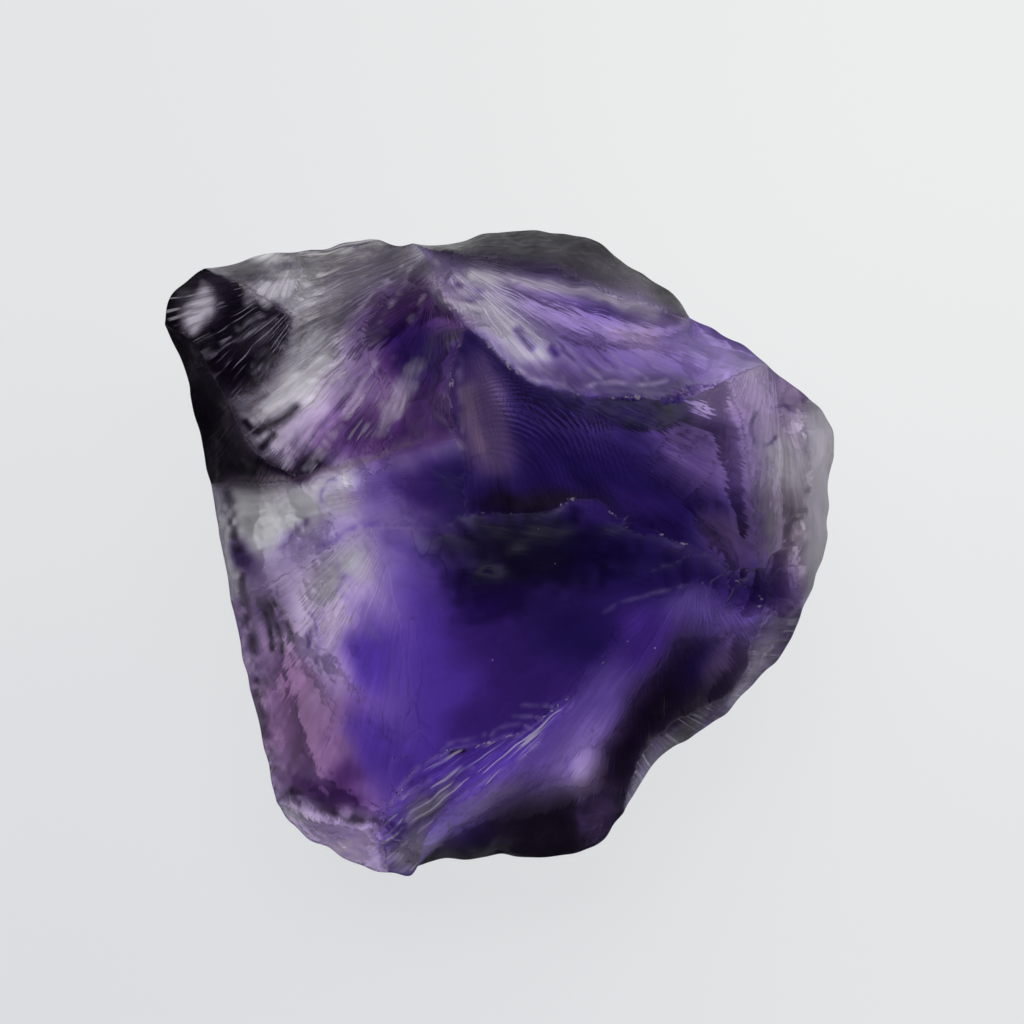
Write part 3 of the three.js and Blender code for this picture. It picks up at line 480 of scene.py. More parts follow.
# Ripples: arcs around a point, over an oval zone, with their spacing and rise
ripples = [
    {"x": -0.2, "y": 1.8, "spacing": 0.18, "rise": 0.009, "zone": (1.8, 4.1, 3.9, 2.0, -35)},
    {"x": -0.3, "y": 10.6, "spacing": 0.27, "rise": 0.012, "zone": (-1.4, 9.2, 1.2, 0.8, -35)},
]

# Fine lines on the surface: tint, half width, strength and rise, and the points that each one runs
# through. Lines of one kind share an entry.
hairs = {
    "hook_edge": ("smoke", 0.08, 0.7, -0.02, [(-2.5, 10.0), (-2.3, 9.5), (-1.9, 9.0),
        (-1.3, 8.6), (-0.7, 8.6)]),
    "hook_band": ("white", 0.16, 0.6, 0.03, [(-2.4, 9.9), (-2.2, 9.4), (-1.7, 9.0),
        (-1.2, 8.8), (-0.7, 8.7)]),
    "hook_arc": ("violet", 0.07, 0.7, -0.02, [(-2.2, 9.9), (-1.9, 9.5), (-1.5, 9.1), (-0.7, 9.0)]),
    "hook_inner": ("violet", 0.07, 0.7, -0.02, [(-1.9, 9.8), (-1.6, 9.4), (-1.2, 9.2), (-0.6, 9.1)]),
    "hook_wedge": ("violet", 0.12, 0.9, -0.03, [(-1.5, 9.6), (-1.1, 9.5), (-0.6, 9.4)]),
    "tip_edge": ("white", 0.10, 0.6, 0.03, [(-2.8, 10.7), (-2.2, 10.4), (-1.6, 10.0), (-1.1, 9.6)]),
    "crown_line": ("white", 0.07, 0.6, 0.02, [(-0.5, 8.1), (-0.1, 7.3), (0.7, 6.6), (1.6, 6.1),
        (2.7, 6.0), (4.0, 6.1), (5.0, 6.0), (5.9, 6.2)]),
    "spine_line": ("smoke", 0.16, 0.6, 0.04, [(-1.5, 6.9), (-1.4, 5.9), (-1.3, 4.9), (-1.3, 3.9)]),
    "spine_side": ("umber", 0.30, 0.7, 0.0, [(-1.1, 5.9), (-1.0, 4.9), (-0.6, 3.8)]),
    "back_edge": ("pearl", 0.28, 0.8, 0.0, [(-0.9, 10.0), (0.4, 9.8), (1.6, 9.6), (2.9, 9.4),
        (4.3, 9.0), (5.4, 8.6)]),
    "blade_gash": ("violet", 0.10, 0.9, -0.03, [(0.0, 9.9), (0.4, 9.7), (0.7, 9.6)]),
    "chip_long": ("royal", 0.13, 0.9, -0.03, [(0.6, 8.0), (0.8, 7.7), (1.1, 7.4)]),
    "chip_short": ("royal", 0.12, 0.9, -0.03, [(1.8, 7.3), (2.0, 7.1)]),
    "comb_a": ("violet", 0.07, 0.7, -0.02, [(2.2, 7.3), (2.7, 6.7), (3.2, 6.2)]),
    "comb_middle": ("violet", 0.07, 0.6, -0.02,
        [(2.7, 7.4), (3.3, 6.7), (4.0, 6.2)],
        [(3.3, 7.4), (4.0, 6.7), (4.8, 6.2)]),
    "comb_pale": ("ash", 0.07, 0.6, 0.02,
        [(2.4, 7.3), (3.0, 6.7), (3.6, 6.2)],
        [(3.7, 7.4), (4.4, 6.8), (5.2, 6.2)]),
    "comb_f": ("violet", 0.07, 0.6, -0.02, [(4.5, 7.4), (5.2, 6.8), (5.9, 6.3)]),
    "stripes_top": ("white", 0.07, 0.7, 0.03,
        [(-3.5, 10.4), (-4.0, 9.8), (-4.6, 9.3)],
        [(-3.1, 10.3), (-3.6, 9.4), (-4.3, 8.4)]),
    "stripes_upper": ("white", 0.07, 0.6, 0.03,
        [(-2.7, 9.3), (-3.2, 8.4)],
        [(-4.3, 9.5), (-5.0, 8.8), (-5.8, 8.1)]),
    "stripes_west": ("white", 0.08, 0.7, 0.03,
        [(-5.6, 7.1), (-7.2, 5.8), (-8.8, 4.5)],
        [(-5.3, 6.8), (-6.8, 5.5), (-8.3, 4.1)]),
    "stripes_east": ("white", 0.08, 0.6, 0.03,
        [(-4.3, 7.0), (-5.6, 5.1), (-6.9, 3.1)],
        [(-4.8, 5.9), (-5.6, 4.7), (-6.4, 3.5)]),
    "stripe_i": ("white", 0.07, 0.6, 0.03, [(-6.4, 7.0), (-7.6, 6.3)]),
    "stripes_dark": ("violet", 0.09, 0.8, -0.03,
        [(-5.0, 6.3), (-6.3, 4.7), (-7.3, 3.4)],
        [(-4.6, 5.6), (-5.4, 4.5), (-6.1, 3.3)]),
    "gash_a": ("ink", 0.16, 0.95, -0.05, [(-8.6, 4.5), (-7.9, 4.8), (-7.3, 5.3)]),
    "gash_b": ("ink", 0.10, 0.95, -0.05, [(-8.5, 3.9), (-8.1, 4.3)]),
    "gash_c": ("umber", 0.12, 0.9, -0.03, [(-9.0, 5.2), (-8.7, 5.5), (-8.3, 5.7)]),
    "gash_d": ("ink", 0.10, 0.9, -0.04, [(-9.1, 4.8), (-8.8, 4.5)]),
    "band_crease": ("ink", 0.14, 0.9, -0.04, [(-8.6, 3.4), (-7.9, 3.1), (-7.1, 2.8), (-6.6, 3.1)]),
    "band_edge": ("umber", 0.10, 0.6, -0.02, [(-10.3, 2.6), (-8.9, 2.8), (-7.2, 2.8),
        (-6.1, 3.1), (-5.2, 3.3), (-3.2, 4.0)]),
    "block_a": ("white", 0.07, 0.8, 0.04, [(-9.3, 8.2), (-8.9, 8.4), (-8.5, 8.6)]),
    "block_b": ("ash", 0.07, 0.8, 0.04,
        [(-9.1, 7.8), (-8.6, 8.2), (-8.0, 8.5)],
        [(-9.0, 6.7), (-8.4, 7.3), (-7.8, 7.8)],
        [(-8.8, 6.5), (-8.2, 7.1), (-7.7, 7.5)]),
    "block_e": ("ash", 0.07, 0.7, 0.04, [(-9.8, 7.5), (-9.4, 7.7), (-8.9, 7.9)]),
    "web_top": ("ash", 0.07, 0.35, 0.03,
        [(-2.1, -7.3), (-1.8, -7.1), (-1.2, -6.8), (-0.5, -6.8), (-0.2, -6.6), (0.4, -6.4),
        (1.1, -6.7)],
        [(-0.3, -6.4), (-0.1, -6.2), (0.4, -6.0), (0.8, -6.0), (1.5, -6.3)]),
    "web_side": ("ash", 0.07, 0.35, 0.02,
        [(0.5, -5.7), (1.3, -5.7), (1.5, -5.8)],
        [(0.8, -5.3), (1.4, -5.3), (2.1, -5.5)]),
    "web_foot": ("ash", 0.08, 0.35, 0.03,
        [(-3.9, -8.8), (-3.3, -8.5), (-2.5, -8.1), (-1.8, -7.8), (-1.0, -7.6)],
        [(-2.9, -9.9), (-2.4, -9.4), (-1.9, -9.0), (-1.2, -8.5), (-0.4, -7.9), (0.7, -7.3),
        (1.5, -6.6)]),
    "web_g": ("ash", 0.09, 0.35, 0.03, [(-4.0, -9.0), (-3.5, -8.2), (-3.0, -7.7), (-2.4, -7.3),
        (-1.8, -6.8), (-1.2, -6.6), (-0.6, -6.4)]),
    "web_h": ("ash", 0.08, 0.35, 0.03, [(-3.5, -9.8), (-2.9, -9.0), (-2.1, -8.6), (-1.4, -8.2)]),
    "web_gash": ("ink", 0.08, 0.9, -0.02, [(-1.7, -7.1), (-1.3, -7.0)]),
    "left_crease": ("violet", 0.09, 0.8, -0.04, [(-6.8, -2.1), (-6.9, -2.6),
        (-6.9, -3.2), (-7.1, -4.1)]),
    "left_fold": ("violet", 0.09, 0.7, -0.04, [(-6.7, -2.3), (-6.5, -3.0), (-6.6, -3.9)]),
    "band_groove": ("violet", 0.12, 0.6, -0.05, [(-6.8, 1.3), (-7.3, 0.9), (-7.9, 0.3)]),
    "knob_ring": ("iris_dark", 0.10, 0.4, -0.04, [(-6.3, 1.7), (-6.4, 2.2), (-6.2, 2.5), (-5.9, 2.7)]),
    "band_line": ("iris_dark", 0.12, 0.7, -0.04, [(-6.5, 0.3), (-5.9, 0.6), (-5.2, 1.0), (-4.4, 1.2)]),
    "fan_a": ("slate", 0.12, 0.8, -0.05, [(-8.6, -1.6), (-8.3, -2.4), (-8.2, -3.4)]),
    "fan_b": ("slate", 0.10, 0.8, -0.05, [(-8.1, -1.7), (-7.7, -2.3), (-7.5, -3.0)]),
    "fan_c": ("slate", 0.10, 0.7, -0.05, [(-8.4, -1.6), (-8.0, -2.5), (-7.8, -3.4)]),
    "left_glow": ("iris", 0.35, 0.6, 0.0, [(-5.8, -0.6), (-5.5, -1.2), (-5.3, -1.7)]),
    # The next two lines are painted shade: mottled dark bands along the west rim and along the foot
    "rim_shade_speckle": ("soot", 0.20, 0.5, -0.03, [(-9.9, 2.4), (-9.6, 1.3), (-9.4, 0.1), (-9.3, -1.2),
        (-9.0, -2.7), (-8.8, -4.5), (-8.5, -6.3), (-8.2, -7.7)]),
    "foot_shade": ("coal", 0.22, 0.7, -0.03, [(-7.6, -8.6), (-6.5, -9.0), (-5.4, -9.4), (-4.5, -9.7)]),
    "lilac_line": ("ash", 0.07, 0.3, 0.03, [(3.7, -2.0), (4.2, -1.7), (5.0, -1.4),
        (6.0, -1.2), (6.8, -1.0)]),
    "lilac_streak": ("iris_dark", 0.12, 0.6, 0.0, [(2.4, -7.3), (2.4, -8.0)]),
    "ring_a": ("violet", 0.07, 0.8, -0.03, [(9.1, 5.1), (8.9, 4.6), (9.1, 4.1),
        (9.5, 4.0), (9.9, 4.3)]),
    "ring_b": ("violet", 0.07, 0.7, -0.03, [(9.7, 5.3), (10.2, 5.4), (10.5, 5.1)]),
    "shadow_gap": ("violet", 0.20, 0.7, 0.0, [(2.9, -8.8), (3.0, -9.7), (3.0, -10.4)]),
}

# Bruises and painted sheens, where the surface is white and lets less light through, as zones with a
# strength: most are bruised breaks, and those on the block, the pale face, the blade and the hook are
# painted sheen standing in for reflections of the window
bruises_and_sheens = [
    (-10.8, 8.8, 0.7, 0.35, 60, 1.0),
    (-8.2, 9.5, 0.8, 0.4, 10, 0.8),
    (11.4, 2.4, 2.8, 0.4, 88, 1.0),
    (0.5, 7.8, 1.8, 0.4, -45, 0.35),
    (-1.6, 9.2, 1.0, 0.4, -40, 0.3),
    (-3.6, 5.6, 1.0, 0.3, 62, 0.4),
    (10.0, 2.4, 1.8, 0.7, -80, 0.2),
    (-6.4, 6.4, 1.9, 1.2, 40, 0.25),
    (-5.6, 2.4, 0.4, 0.3, 30, 0.5),
    (-7.2, 5.0, 1.2, 0.9, 40, 0.35),
    (7.4, 7.3, 1.2, 0.6, -20, 0.25),
]

# Clouds inside the stone, which keep its colour and let less light through, as zones with a strength
clouds = [
    (1.4, 0.3, 2.8, 1.2, -4, 1.0),
    (-0.4, -1.2, 1.4, 1.0, 0, 1.0),
    (4.4, 5.0, 1.7, 0.5, -8, 1.0),
    (8.5, 3.4, 2.4, 0.4, -84, 0.8),
    (-8.8, 1.0, 2.2, 1.0, 85, 0.7),
    (-7.0, 1.6, 1.6, 0.9, 20, 0.5),
    (-8.0, -1.0, 1.2, 0.8, 80, 0.5),
    (-8.0, -6.2, 1.8, 0.6, -80, 0.4),
    (-7.0, 5.2, 1.6, 1.2, 40, 0.5),
    (10.4, 3.2, 2.0, 0.6, -85, 0.5),
    (9.6, 5.0, 1.4, 0.6, -60, 0.4),
    (-8.5, -2.2, 1.4, 0.8, -70, 0.5),
    (-5.6, -0.3, 1.4, 1.0, 30, 0.4),
    (-2.9, 4.8, 1.8, 0.9, 20, 0.5),
    (1.6, 9.5, 2.6, 0.3, -12, 0.5),
]

# How bruised a fine line is, by its tint, and the tints of the lines that are not ragged
line_bruise = {"white": 0.7, "ash": 0.1, "pearl": 0.5, "ink": 0.0}
solid_lines = ("ink", "umber", "royal", "pearl")
hair_mean = 0.6
hair_swing = 0.8
hair_reach = 3

# How much each ridge is worn, from 0 to 1
worn = {
    "crown": 0.8, "spine": 0.7, "spine_end": 0.5, "bowl_brow": 0.65, "hook_side": 0.8, "hook_tip": 0.6,
    "lilac_top": 0.6, "feather_top": 0.7, "feather_side": 0.8, "block_side": 0.7, "pale_foot": 0.8,
    "pale_side": 0.6, "sliver_top": 0.5, "band_brow": 0.5, "bevel": 0.6, "violet_west": 0.4,
}
wear_width = 0.18

# How far each ridge is rounded off and melts into the faces beside it, from 0 to 1
rounded = {
    "shin": 1.0, "band_end": 0.9, "right_side": 1.0, "lilac_foot": 0.9, "fringe_top": 0.5,
    "violet_west": 0.8, "band_foot": 0.8, "band_top": 0.4, "fringe_end": 0.9, "right_foot": 0.8,
    "feather_top": 0.5, "feather_side": 0.3, "lilac_top": 0.25, "dark_side": 0.4, "dark_top": 0.4,
    "band_crest": 0.3, "back": 0.5, "bevel": 0.5,
}
round_width = 0.7
round_tint_steps = 70
round_height_steps = 25
sharp_width = 0.35
seam_share = 0.8
seam_steps = 3

# Painted shade: how dark the stone is painted at each stretch of the rim, from 0 to 1, standing in for
# the dark edges where light is lost inside it
painted_rim_shade = {
    "back": 0.1, "blade": 0.0, "right": 0.0, "bevel": 0.0, "fringe": 0.2, "shadow": 0.3, "stub": 0.0,
    "sliver": 0.0, "left": 0.0, "band": 0.0, "dark": 0.5, "block": 0.5, "pale": 0.3, "sky": 0.3,
}
shade_width = 0.55
shade_mean = 0.7
shade_swing = 0.5
shade_depth = 2.0

# Bites: small round flakes off the ridges
bite_seed = 11
bite_spacing = 0.9
bite_radius = (0.4, 1.1)
bite_depth = (0.02, 0.09)
bite_shift = 0.3

# Soft noises: bumps to each millimetre, and where each one starts in the table of random heights
noises = {
    "shake_x": (1.3, 0, 40),
    "shake_y": (1.3, 80, 0),
    "lump": (0.8, 0, 0),
    "small_lump": (2, 0, 0),
    "cloud": (0.9, 9, 0),
    "small_cloud": (2.3, 0, 9),
    "ripple": (0.7, 0, 0),
    "patch": (3, 0, 33),
    "hair": (4, 0, 15),
    "rim": (1.7, 0, 70),
    "under": (0.7, 30, 0),
    "wander_x": (1.6, 0, 0),
    "wander_y": (1.6, 50, 50),
}
noise_seed = 7
noise_side = 256

# Hackles: how long they are for their spacing, how much finer the second ones are, and where both start
hackle_length = 8
hackle_start = 20
finer_hackles = 2.2
finer_length = 5
finer_start = 60

# Shares of the noises in the tint and the lumps, and how the edges of zones and marks fade
hackles_in_tint = 0.45
finer_in_tint = 0.35
cloud_in_tint = 0.14
small_lumps = 0.5
small_clouds = 0.6
shake = 0.25
zone_reach = 1.5
zone_fade = 1.15
patch_reach = 1.6
patch_ragged = 0.35
ripple_drift = 0.35
mark_fade = 3
relief_width = 0.5
least_relief = 0.3
line_step = 0.05

# Sides: the upper side is tinted more strongly, and the lower side less, most of all near its foot;
# toward the rim the lower side is tinted more strongly again, which keeps its colour and also paints
# shade near the edges of the stone
over_tint = 1.4
under_tint = 0.45
rim_tint_and_shade = 0.7
rim_height = 5.5
rim_reach = 0.5
rim_inset = 0.995
under_inset = 0.99
under_steps = 25
under_lumps = 0.10
under_small_lumps = 0.4
under_frost = 1.0
under_peel = 0.5
foot_height = 0.5
wander = 0.06

# Noises of the material: what they lie over, how fine they are on each axis, detail and roughness
textures = {
    "fine": ("grain", (6.0, 0.5, 1.0), 2.0, 0.6),
    "scratch": ("grain", (9.0, 0.3, 1.0), 1.0, 0.5),
    "grit": ("place", (6.0, 6.0, 6.0), 1.0, 0.7),
    "bumps": ("place", (3.5, 3.5, 3.5), 0.0, 0.5),
    "drifts": ("place", (1.3, 1.3, 1.3), 0.0, 0.5),
}

# Colour of the surface: how strongly hackles and ripples change it, then chips, dust, and bruises with
# painted sheens.
# Steps are where something begins and where it is full, and then its least and its most.
streak_colour = 3.0
ripple_colour = 30.0
chip_steps = (0.25, 0.33)
chip_share = 0.5
chip_tint = (0.66, 0.58, 0.52, 1)
dust_pace = 1.4
dust_steps = (0.4, 0.8)
dust_size = 0.05
dust_share = 0.8
dust_tint = (0.75, 0.70, 0.62, 1)
scratch_steps = (0.60, 0.68)
scratch_drifts = (0.40, 0.60)
scratch_streaks = (0.6, 0.9, 0.0, 0.5)
bruise_and_sheen_steps = (0.3, 0.6, 0.5, 1.0)
bruise_and_sheen_tint = (0.86, 0.80, 0.92, 1)

# Clearness and gloss: the clear stone, and what bruises and painted sheens, clouds, frost and chips do to
# it
clear_share = 0.93
bruise_and_sheen_veil = 0.5
cloud_veil = 0.6
least_clear = 0.25
smooth_rough = 0.10
frost_steps = (0.2, 0.8, 0.25, 0.5)
chip_rough = 0.4
most_rough = 0.6

# Heights of the bumps, in millimetres
streak_bump = 0.05
peel_bump = 0.06
wear_bump = 0.03
bump_scale = 0.001

# Quartz, and the violet that it takes up inside
quartz_ior = 1.544
mirror_level = 0.2
mirror_tint = (0.4, 0.4, 0.4)
violet_inside = (0.45, 0.25, 0.85, 1)
violet_density = 18.0

# Floor, in metres: it glows a little more to the north and to the east, and less far out
floor_half = 0.6
floor_drop = 0.00002
floor_reach = 0.018
floor_glows = {"Y": ((0.70, 0.71, 0.725, 1), (0.765, 0.77, 0.77, 1)),
               "X": ((0.97, 0.98, 0.99, 1), (1.06, 1.06, 1.06, 1))}
floor_fade = (0.028, 0.08, 1.0, 0.4)
floor_tint = (0.10, 0.10, 0.10, 1)
floor_glow = 0.965

# World and window, in metres
world_stops = ((0.0, (0.20, 0.20, 0.21, 1)), (0.7, (0.012, 0.012, 0.014, 1)))
window_size = (0.9, 0.6)
window_power = 5.0
window_place = (-0.05, 0.5, 0.5)
window_aim = (0, 0, 0.005)

# Camera: the photo in pixels, and distances in metres
photo_side = 1024
photo_width = 668
photo_middle = (500, 556)
camera_distance = 0.3
rim_level = 0.0055
sensor_width = 36
camera_range = (0.01, 10)
light_bounces = 7


# Building the mesh

def smooth_line(points):
    """A smooth line through its points, as short straight steps."""
    points = np.array(points, float)
    if len(points) < 3:
        return points
    before = 2 * points[0] - points[1]
    after = 2 * points[-1] - points[-2]
    padded = np.vstack([before, points, after])
    gaps = np.sqrt(np.linalg.norm(np.diff(padded, axis=0), axis=1))
    t = np.linspace(0, 1, steps_per_bend, endpoint=False)[:, None]
    made = []
    for i in range(len(points) - 1):
        a, b, c, d = padded[i:i + 4]
        one, two, three = gaps[i:i + 3]
        start = ((b - a) / one - (c - a) / (one + two) + (c - b) / two) * two
        end = ((c - b) / two - (d - b) / (two + three) + (d - c) / three) * two
        made.append((2 * t**3 - 3 * t**2 + 1) * b + (t**3 - 2 * t**2 + t) * start
                    + (3 * t**2 - 2 * t**3) * c + (t**3 - t**2) * end)
    return np.vstack([*made, points[-1:]])


def closed_loop(lines):
    """The lines one after another, as one loop without its last point."""
    return np.vstack([smooth_line(line)[:-1] for line in lines])


def distance_along(line):
    """How far along a line each of its points is."""
    return np.concatenate([[0], np.cumsum(np.linalg.norm(np.diff(line, axis=0), axis=1))])


def inside(loop, spots):
    """Which spots lie inside a loop, seen from above."""
    within = np.zeros(len(spots), bool)
    x, y = spots[:, 0], spots[:, 1]
    for a, b in zip(loop, np.roll(loop, -1, axis=0)):
        crosses = (a[1] > y) != (b[1] > y)
        if crosses.any():
            within ^= crosses & (x < a[0] + (y - a[1]) / (b[1] - a[1]) * (b[0] - a[0]))
    return within


def face_of(loops, spots):
    """The number of the face that each spot lies on, or -1."""
    found = np.full(len(spots), -1)
    for number, loop in enumerate(loops):
        low, high = loop[:, :2].min(0), loop[:, :2].max(0)
        near = (found < 0) & (spots[:, :2] >= low).all(1) & (spots[:, :2] <= high).all(1)
        chosen = np.flatnonzero(near)
        found[chosen[inside(loop, spots[chosen])]] = number
    return found


def mean_value(loop, spots):
    """Height and depth inside a loop by mean value coordinates."""
    gap = loop[None, :, :2] - spots[:, None, :2]
    after = np.roll(gap, -1, axis=1)
    away = np.hypot(gap[..., 0], gap[..., 1])
    cross = gap[..., 0] * after[..., 1] - gap[..., 1] * after[..., 0]
    half = cross / (away * np.roll(away, -1, axis=1) + (gap * after).sum(-1) + least_gap)
    weight = (half + np.roll(half, 1, axis=1)) / away
    total = weight.sum(1)
    return (weight @ loop[:, 2]) / total, np.abs(1 / total)


def nearest_on(starts, ends, spots):
    """The nearest point of a set of short lines to each spot, seen from above."""
    along = (ends - starts)[:, :2]
    length = (along**2).sum(1)
    made = np.empty((len(spots), 3))
    for first in range(0, len(spots), batch):
        part = spots[first:first + batch, None, :2] - starts[None, :, :2]
        t = np.clip((part * along).sum(-1) / length, 0, 1)
        gap = np.linalg.norm(part - t[..., None] * along, axis=-1)
        best = gap.argmin(1)
        share = t[np.arange(len(best)), best][:, None]
        made[first:first + batch] = starts[best] + share * (ends - starts)[best]
    return made


def rim_points(count):
    """The rim as evenly spaced points, the nearest of which are moved onto its corners."""
    outline = closed_loop(rim.values())
    closed = np.vstack([outline, outline[:1]])
    far = distance_along(closed)
    places = np.linspace(0, far[-1], count, endpoint=False)
    points = np.column_stack([np.interp(places, far, closed[:, axis]) for axis in range(3)])
    for line in rim.values():
        corner = np.array(line[0])
        points[np.linalg.norm(points[:, :2] - corner[:2], axis=1).argmin()] = corner
    return points


def ring_counts(rings, edge):
    """How many vertices each ring has, from the middle to the rim."""
    return [1] + [6 * ring for ring in range(1, rings)] + [len(edge)]


def ring_vertices(rings, edge):
    """Rings of vertices from the middle out to the rim, each a smaller copy of the rim."""
    closed = np.vstack([edge, edge[:1]])
    places = np.arange(len(edge) + 1) / len(edge)
    made = []
    for ring, count in enumerate(ring_counts(rings, edge)):
        turn = np.arange(count) / count
        points = np.column_stack([np.interp(turn, places, closed[:, axis]) for axis in range(3)])
        made.append(points * ring / rings if ring < rings else edge)
    return np.vstack(made)


def ring_triangles(rings, edge):
    """Triangles between each ring and the next, facing up for a clockwise rim."""
    counts = ring_counts(rings, edge)
    starts = np.concatenate([[0], np.cumsum(counts)])
    made = []
    for ring in range(1, rings + 1):
        inner, outer = counts[ring - 1], counts[ring]
        near, far = starts[ring - 1], starts[ring]
        inner_steps = 0 if ring == 1 else inner
        i = 0
        j = 0
        while i < inner_steps or j < outer:
            outward = i >= inner_steps or (j + 0.5) / outer < (i + 0.5) / inner
            if j < outer and outward:
                made.append((near + i % inner, far + (j + 1) % outer, far + j))
                j += 1
            else:
                made.append((near + i, near + (i + 1) % inner, far + j % outer))
                i += 1
    return np.array(made)


def edges_of(triangles):
    """Each edge of the triangles once."""
    pairs = np.vstack([triangles[:, [0, 1]], triangles[:, [1, 2]], triangles[:, [2, 0]]])
    return np.unique(np.sort(pairs, axis=1), axis=0)


def crossings(loops, starts, ends, faces):
    """How far along each straight way its first face ends."""
    low = np.zeros(len(starts))
    high = np.ones(len(starts))
    for _ in range(halvings):
        middle = (low + high) / 2
        same = face_of(loops, starts + middle[:, None] * (ends - starts)) == faces
        low = np.where(same, middle, low)
        high = np.where(same, high, middle)
    return (low + high) / 2


def pin_corners(vertices, corners, fixed):
    """Moves the nearest free vertex onto each corner."""
    for corner in corners:
        gaps = np.linalg.norm(vertices[:, :2] - np.array(corner[:2]), axis=1)
        nearest = np.where(fixed, np.inf, gaps).argmin()
        vertices[nearest] = corner
        fixed[nearest] = True


def snap_to_ridges(vertices, edges, loops, faces, fixed, rim_start):
    """Moves the vertices next to each ridge onto it, each one once."""
    for _ in range(snap_rounds):
        a, b = edges[:, 0], edges[:, 1]
        open_a = ~fixed[a] | (a >= rim_start)
        open_b = ~fixed[b] | (b >= rim_start)
        a, b = edges[(faces[a] != faces[b]) & open_a & open_b].T
        part = crossings(loops, vertices[a], vertices[b], faces[a])
        nearer_a = fixed[b] | ((part < 0.5) & ~fixed[a])
        nearer = np.where(nearer_a, a, b)
        shift = np.where(nearer_a, part, 1 - part)
        place = vertices[a] + part[:, None] * (vertices[b] - vertices[a])
        order = np.argsort(np.where(fixed[nearer], np.inf, shift), kind="stable")
        chosen, first = np.unique(nearer[order], return_index=True)
        free = ~fixed[chosen]
        vertices[chosen[free]] = place[order][first[free]]
        fixed[chosen[free]] = True


def relax(vertices, edges, loops, faces, fixed):
    """Evens out the vertices between the ridges."""
    count = np.bincount(edges.ravel(), minlength=len(vertices))[:, None]
    for _ in range(relax_rounds):
        total = np.zeros_like(vertices)
        np.add.at(total, edges[:, 0], vertices[edges[:, 1]])
        np.add.at(total, edges[:, 1], vertices[edges[:, 0]])
        moved = total / count
        free = np.flatnonzero(~fixed)
        kept = free[face_of(loops, moved[free]) == faces[free]]
        vertices[kept] = moved[kept]


def lay_on_ridges(vertices, lines, on_ridge):
    """Puts the vertices on the ridges exactly onto their lines, in height too."""
    sampled = [smooth_line(line) for line in lines]
    starts = np.vstack([line[:-1] for line in sampled])
    ends = np.vstack([line[1:] for line in sampled])
    vertices[on_ridge] = nearest_on(starts, ends, vertices[on_ridge])


def lay_on_faces(vertices, face_list, loops, faces, free, sense):
    """Gives the vertices between the ridges their height, and says how far in from them each one is."""
    share = np.zeros(len(vertices))
    edge_gap = np.zeros(len(vertices))
    for number, (face, loop) in enumerate(zip(face_list.values(), loops)):
        own = np.flatnonzero((faces == number) & free)
        if not len(own):
            continue
        level, far = mean_value(loop, vertices[own])
        share[own] = far / far.max()
        edge_gap[own] = 2 * far
        flat = (loop[:, 2] == floor).all()
        vertices[own, 2] = floor if flat else level - sense * face["hollow"] * share[own]
    return share, edge_gap


def side_of(face_list, inner, rings, edge, sense):
    """One side of the stone: rings laid onto its faces, with vertices on every ridge."""
    loops = [closed_loop(face["loop"]) for face in face_list.values()]
    vertices = ring_vertices(rings, edge)
    triangles = ring_triangles(rings, edge)
    edges = edges_of(triangles)
    rim_start = len(vertices) - len(edge)
    fixed = np.arange(len(vertices)) >= rim_start
    inset = np.where(fixed, rim_inset, 1.0)[:, None]
    faces = face_of(loops, vertices * inset)
    corners = {line[end] for line in inner.values() for end in (0, -1)}
    rim_corners = {line[0] for line in rim.values()}
    pin_corners(vertices, sorted(corners - rim_corners), fixed)
    snap_to_ridges(vertices, edges, loops, faces, fixed, rim_start)
    relax(vertices, edges, loops, faces, fixed)
    lay_on_ridges(vertices, [*rim.values(), *inner.values()], np.flatnonzero(fixed[:rim_start]))
    share, edge_gap = lay_on_faces(vertices, face_list, loops, faces, ~fixed, sense)
    return {"vertices": vertices, "triangles": triangles, "edges": edges, "faces": faces,
            "share": share, "edge_gap": edge_gap}


def mark_at(mark, spots):
    """A mark fades from its middle to nothing at its edge."""
    x, y = spots[:, 0] - mark["x"], spots[:, 1] - mark["y"]
    along = (x * cos(mark["turn"]) + y * sin(mark["turn"])) / mark["long"]
    across = (y * cos(mark["turn"]) - x * sin(mark["turn"])) / mark["broad"]
    return mark["rise"] * np.clip(1 - along**2 - across**2, 0, 1) ** 2


# Relief and colour zones

noise_table = np.random.default_rng(noise_seed).uniform(-1, 1, (noise_side, noise_side))


def ease(t):
    """Softens both ends of a rise from 0 to 1."""
    return t * t * (3 - 2 * t)


def soft_noise(u, v):
    """Smooth noise from -1 to 1, with one bump or hollow to each unit."""
    cell_u, cell_v = np.floor(u).astype(int), np.floor(v).astype(int)
    part_u, part_v = ease(u - cell_u), ease(v - cell_v)
    near, far = noise_table[cell_u % noise_side], noise_table[(cell_u + 1) % noise_side]
    rows = np.arange(len(cell_u))
    left, right = cell_v % noise_side, (cell_v + 1) % noise_side
    a = near[rows, left] * (1 - part_v) + near[rows, right] * part_v
    b = far[rows, left] * (1 - part_v) + far[rows, right] * part_v
    return a + part_u * (b - a)


def noise_at(name, spots):
    """One of the soft noises, seen from above."""
    pace, east, north = noises[name]
    return soft_noise(spots[:, 0] * pace + east, spots[:, 1] * pace + north)


def oval(zone, spots):
    """How far out each spot is in an oval zone: 0 in the middle and 1 at the edge."""
    x, y, long, broad, turn = zone[:5]
    dx, dy = spots[:, 0] - x, spots[:, 1] - y
    along = dx * cos(radians(turn)) + dy * sin(radians(turn))
    across = dy * cos(radians(turn)) - dx * sin(radians(turn))
    return np.hypot(along / long, across / broad)


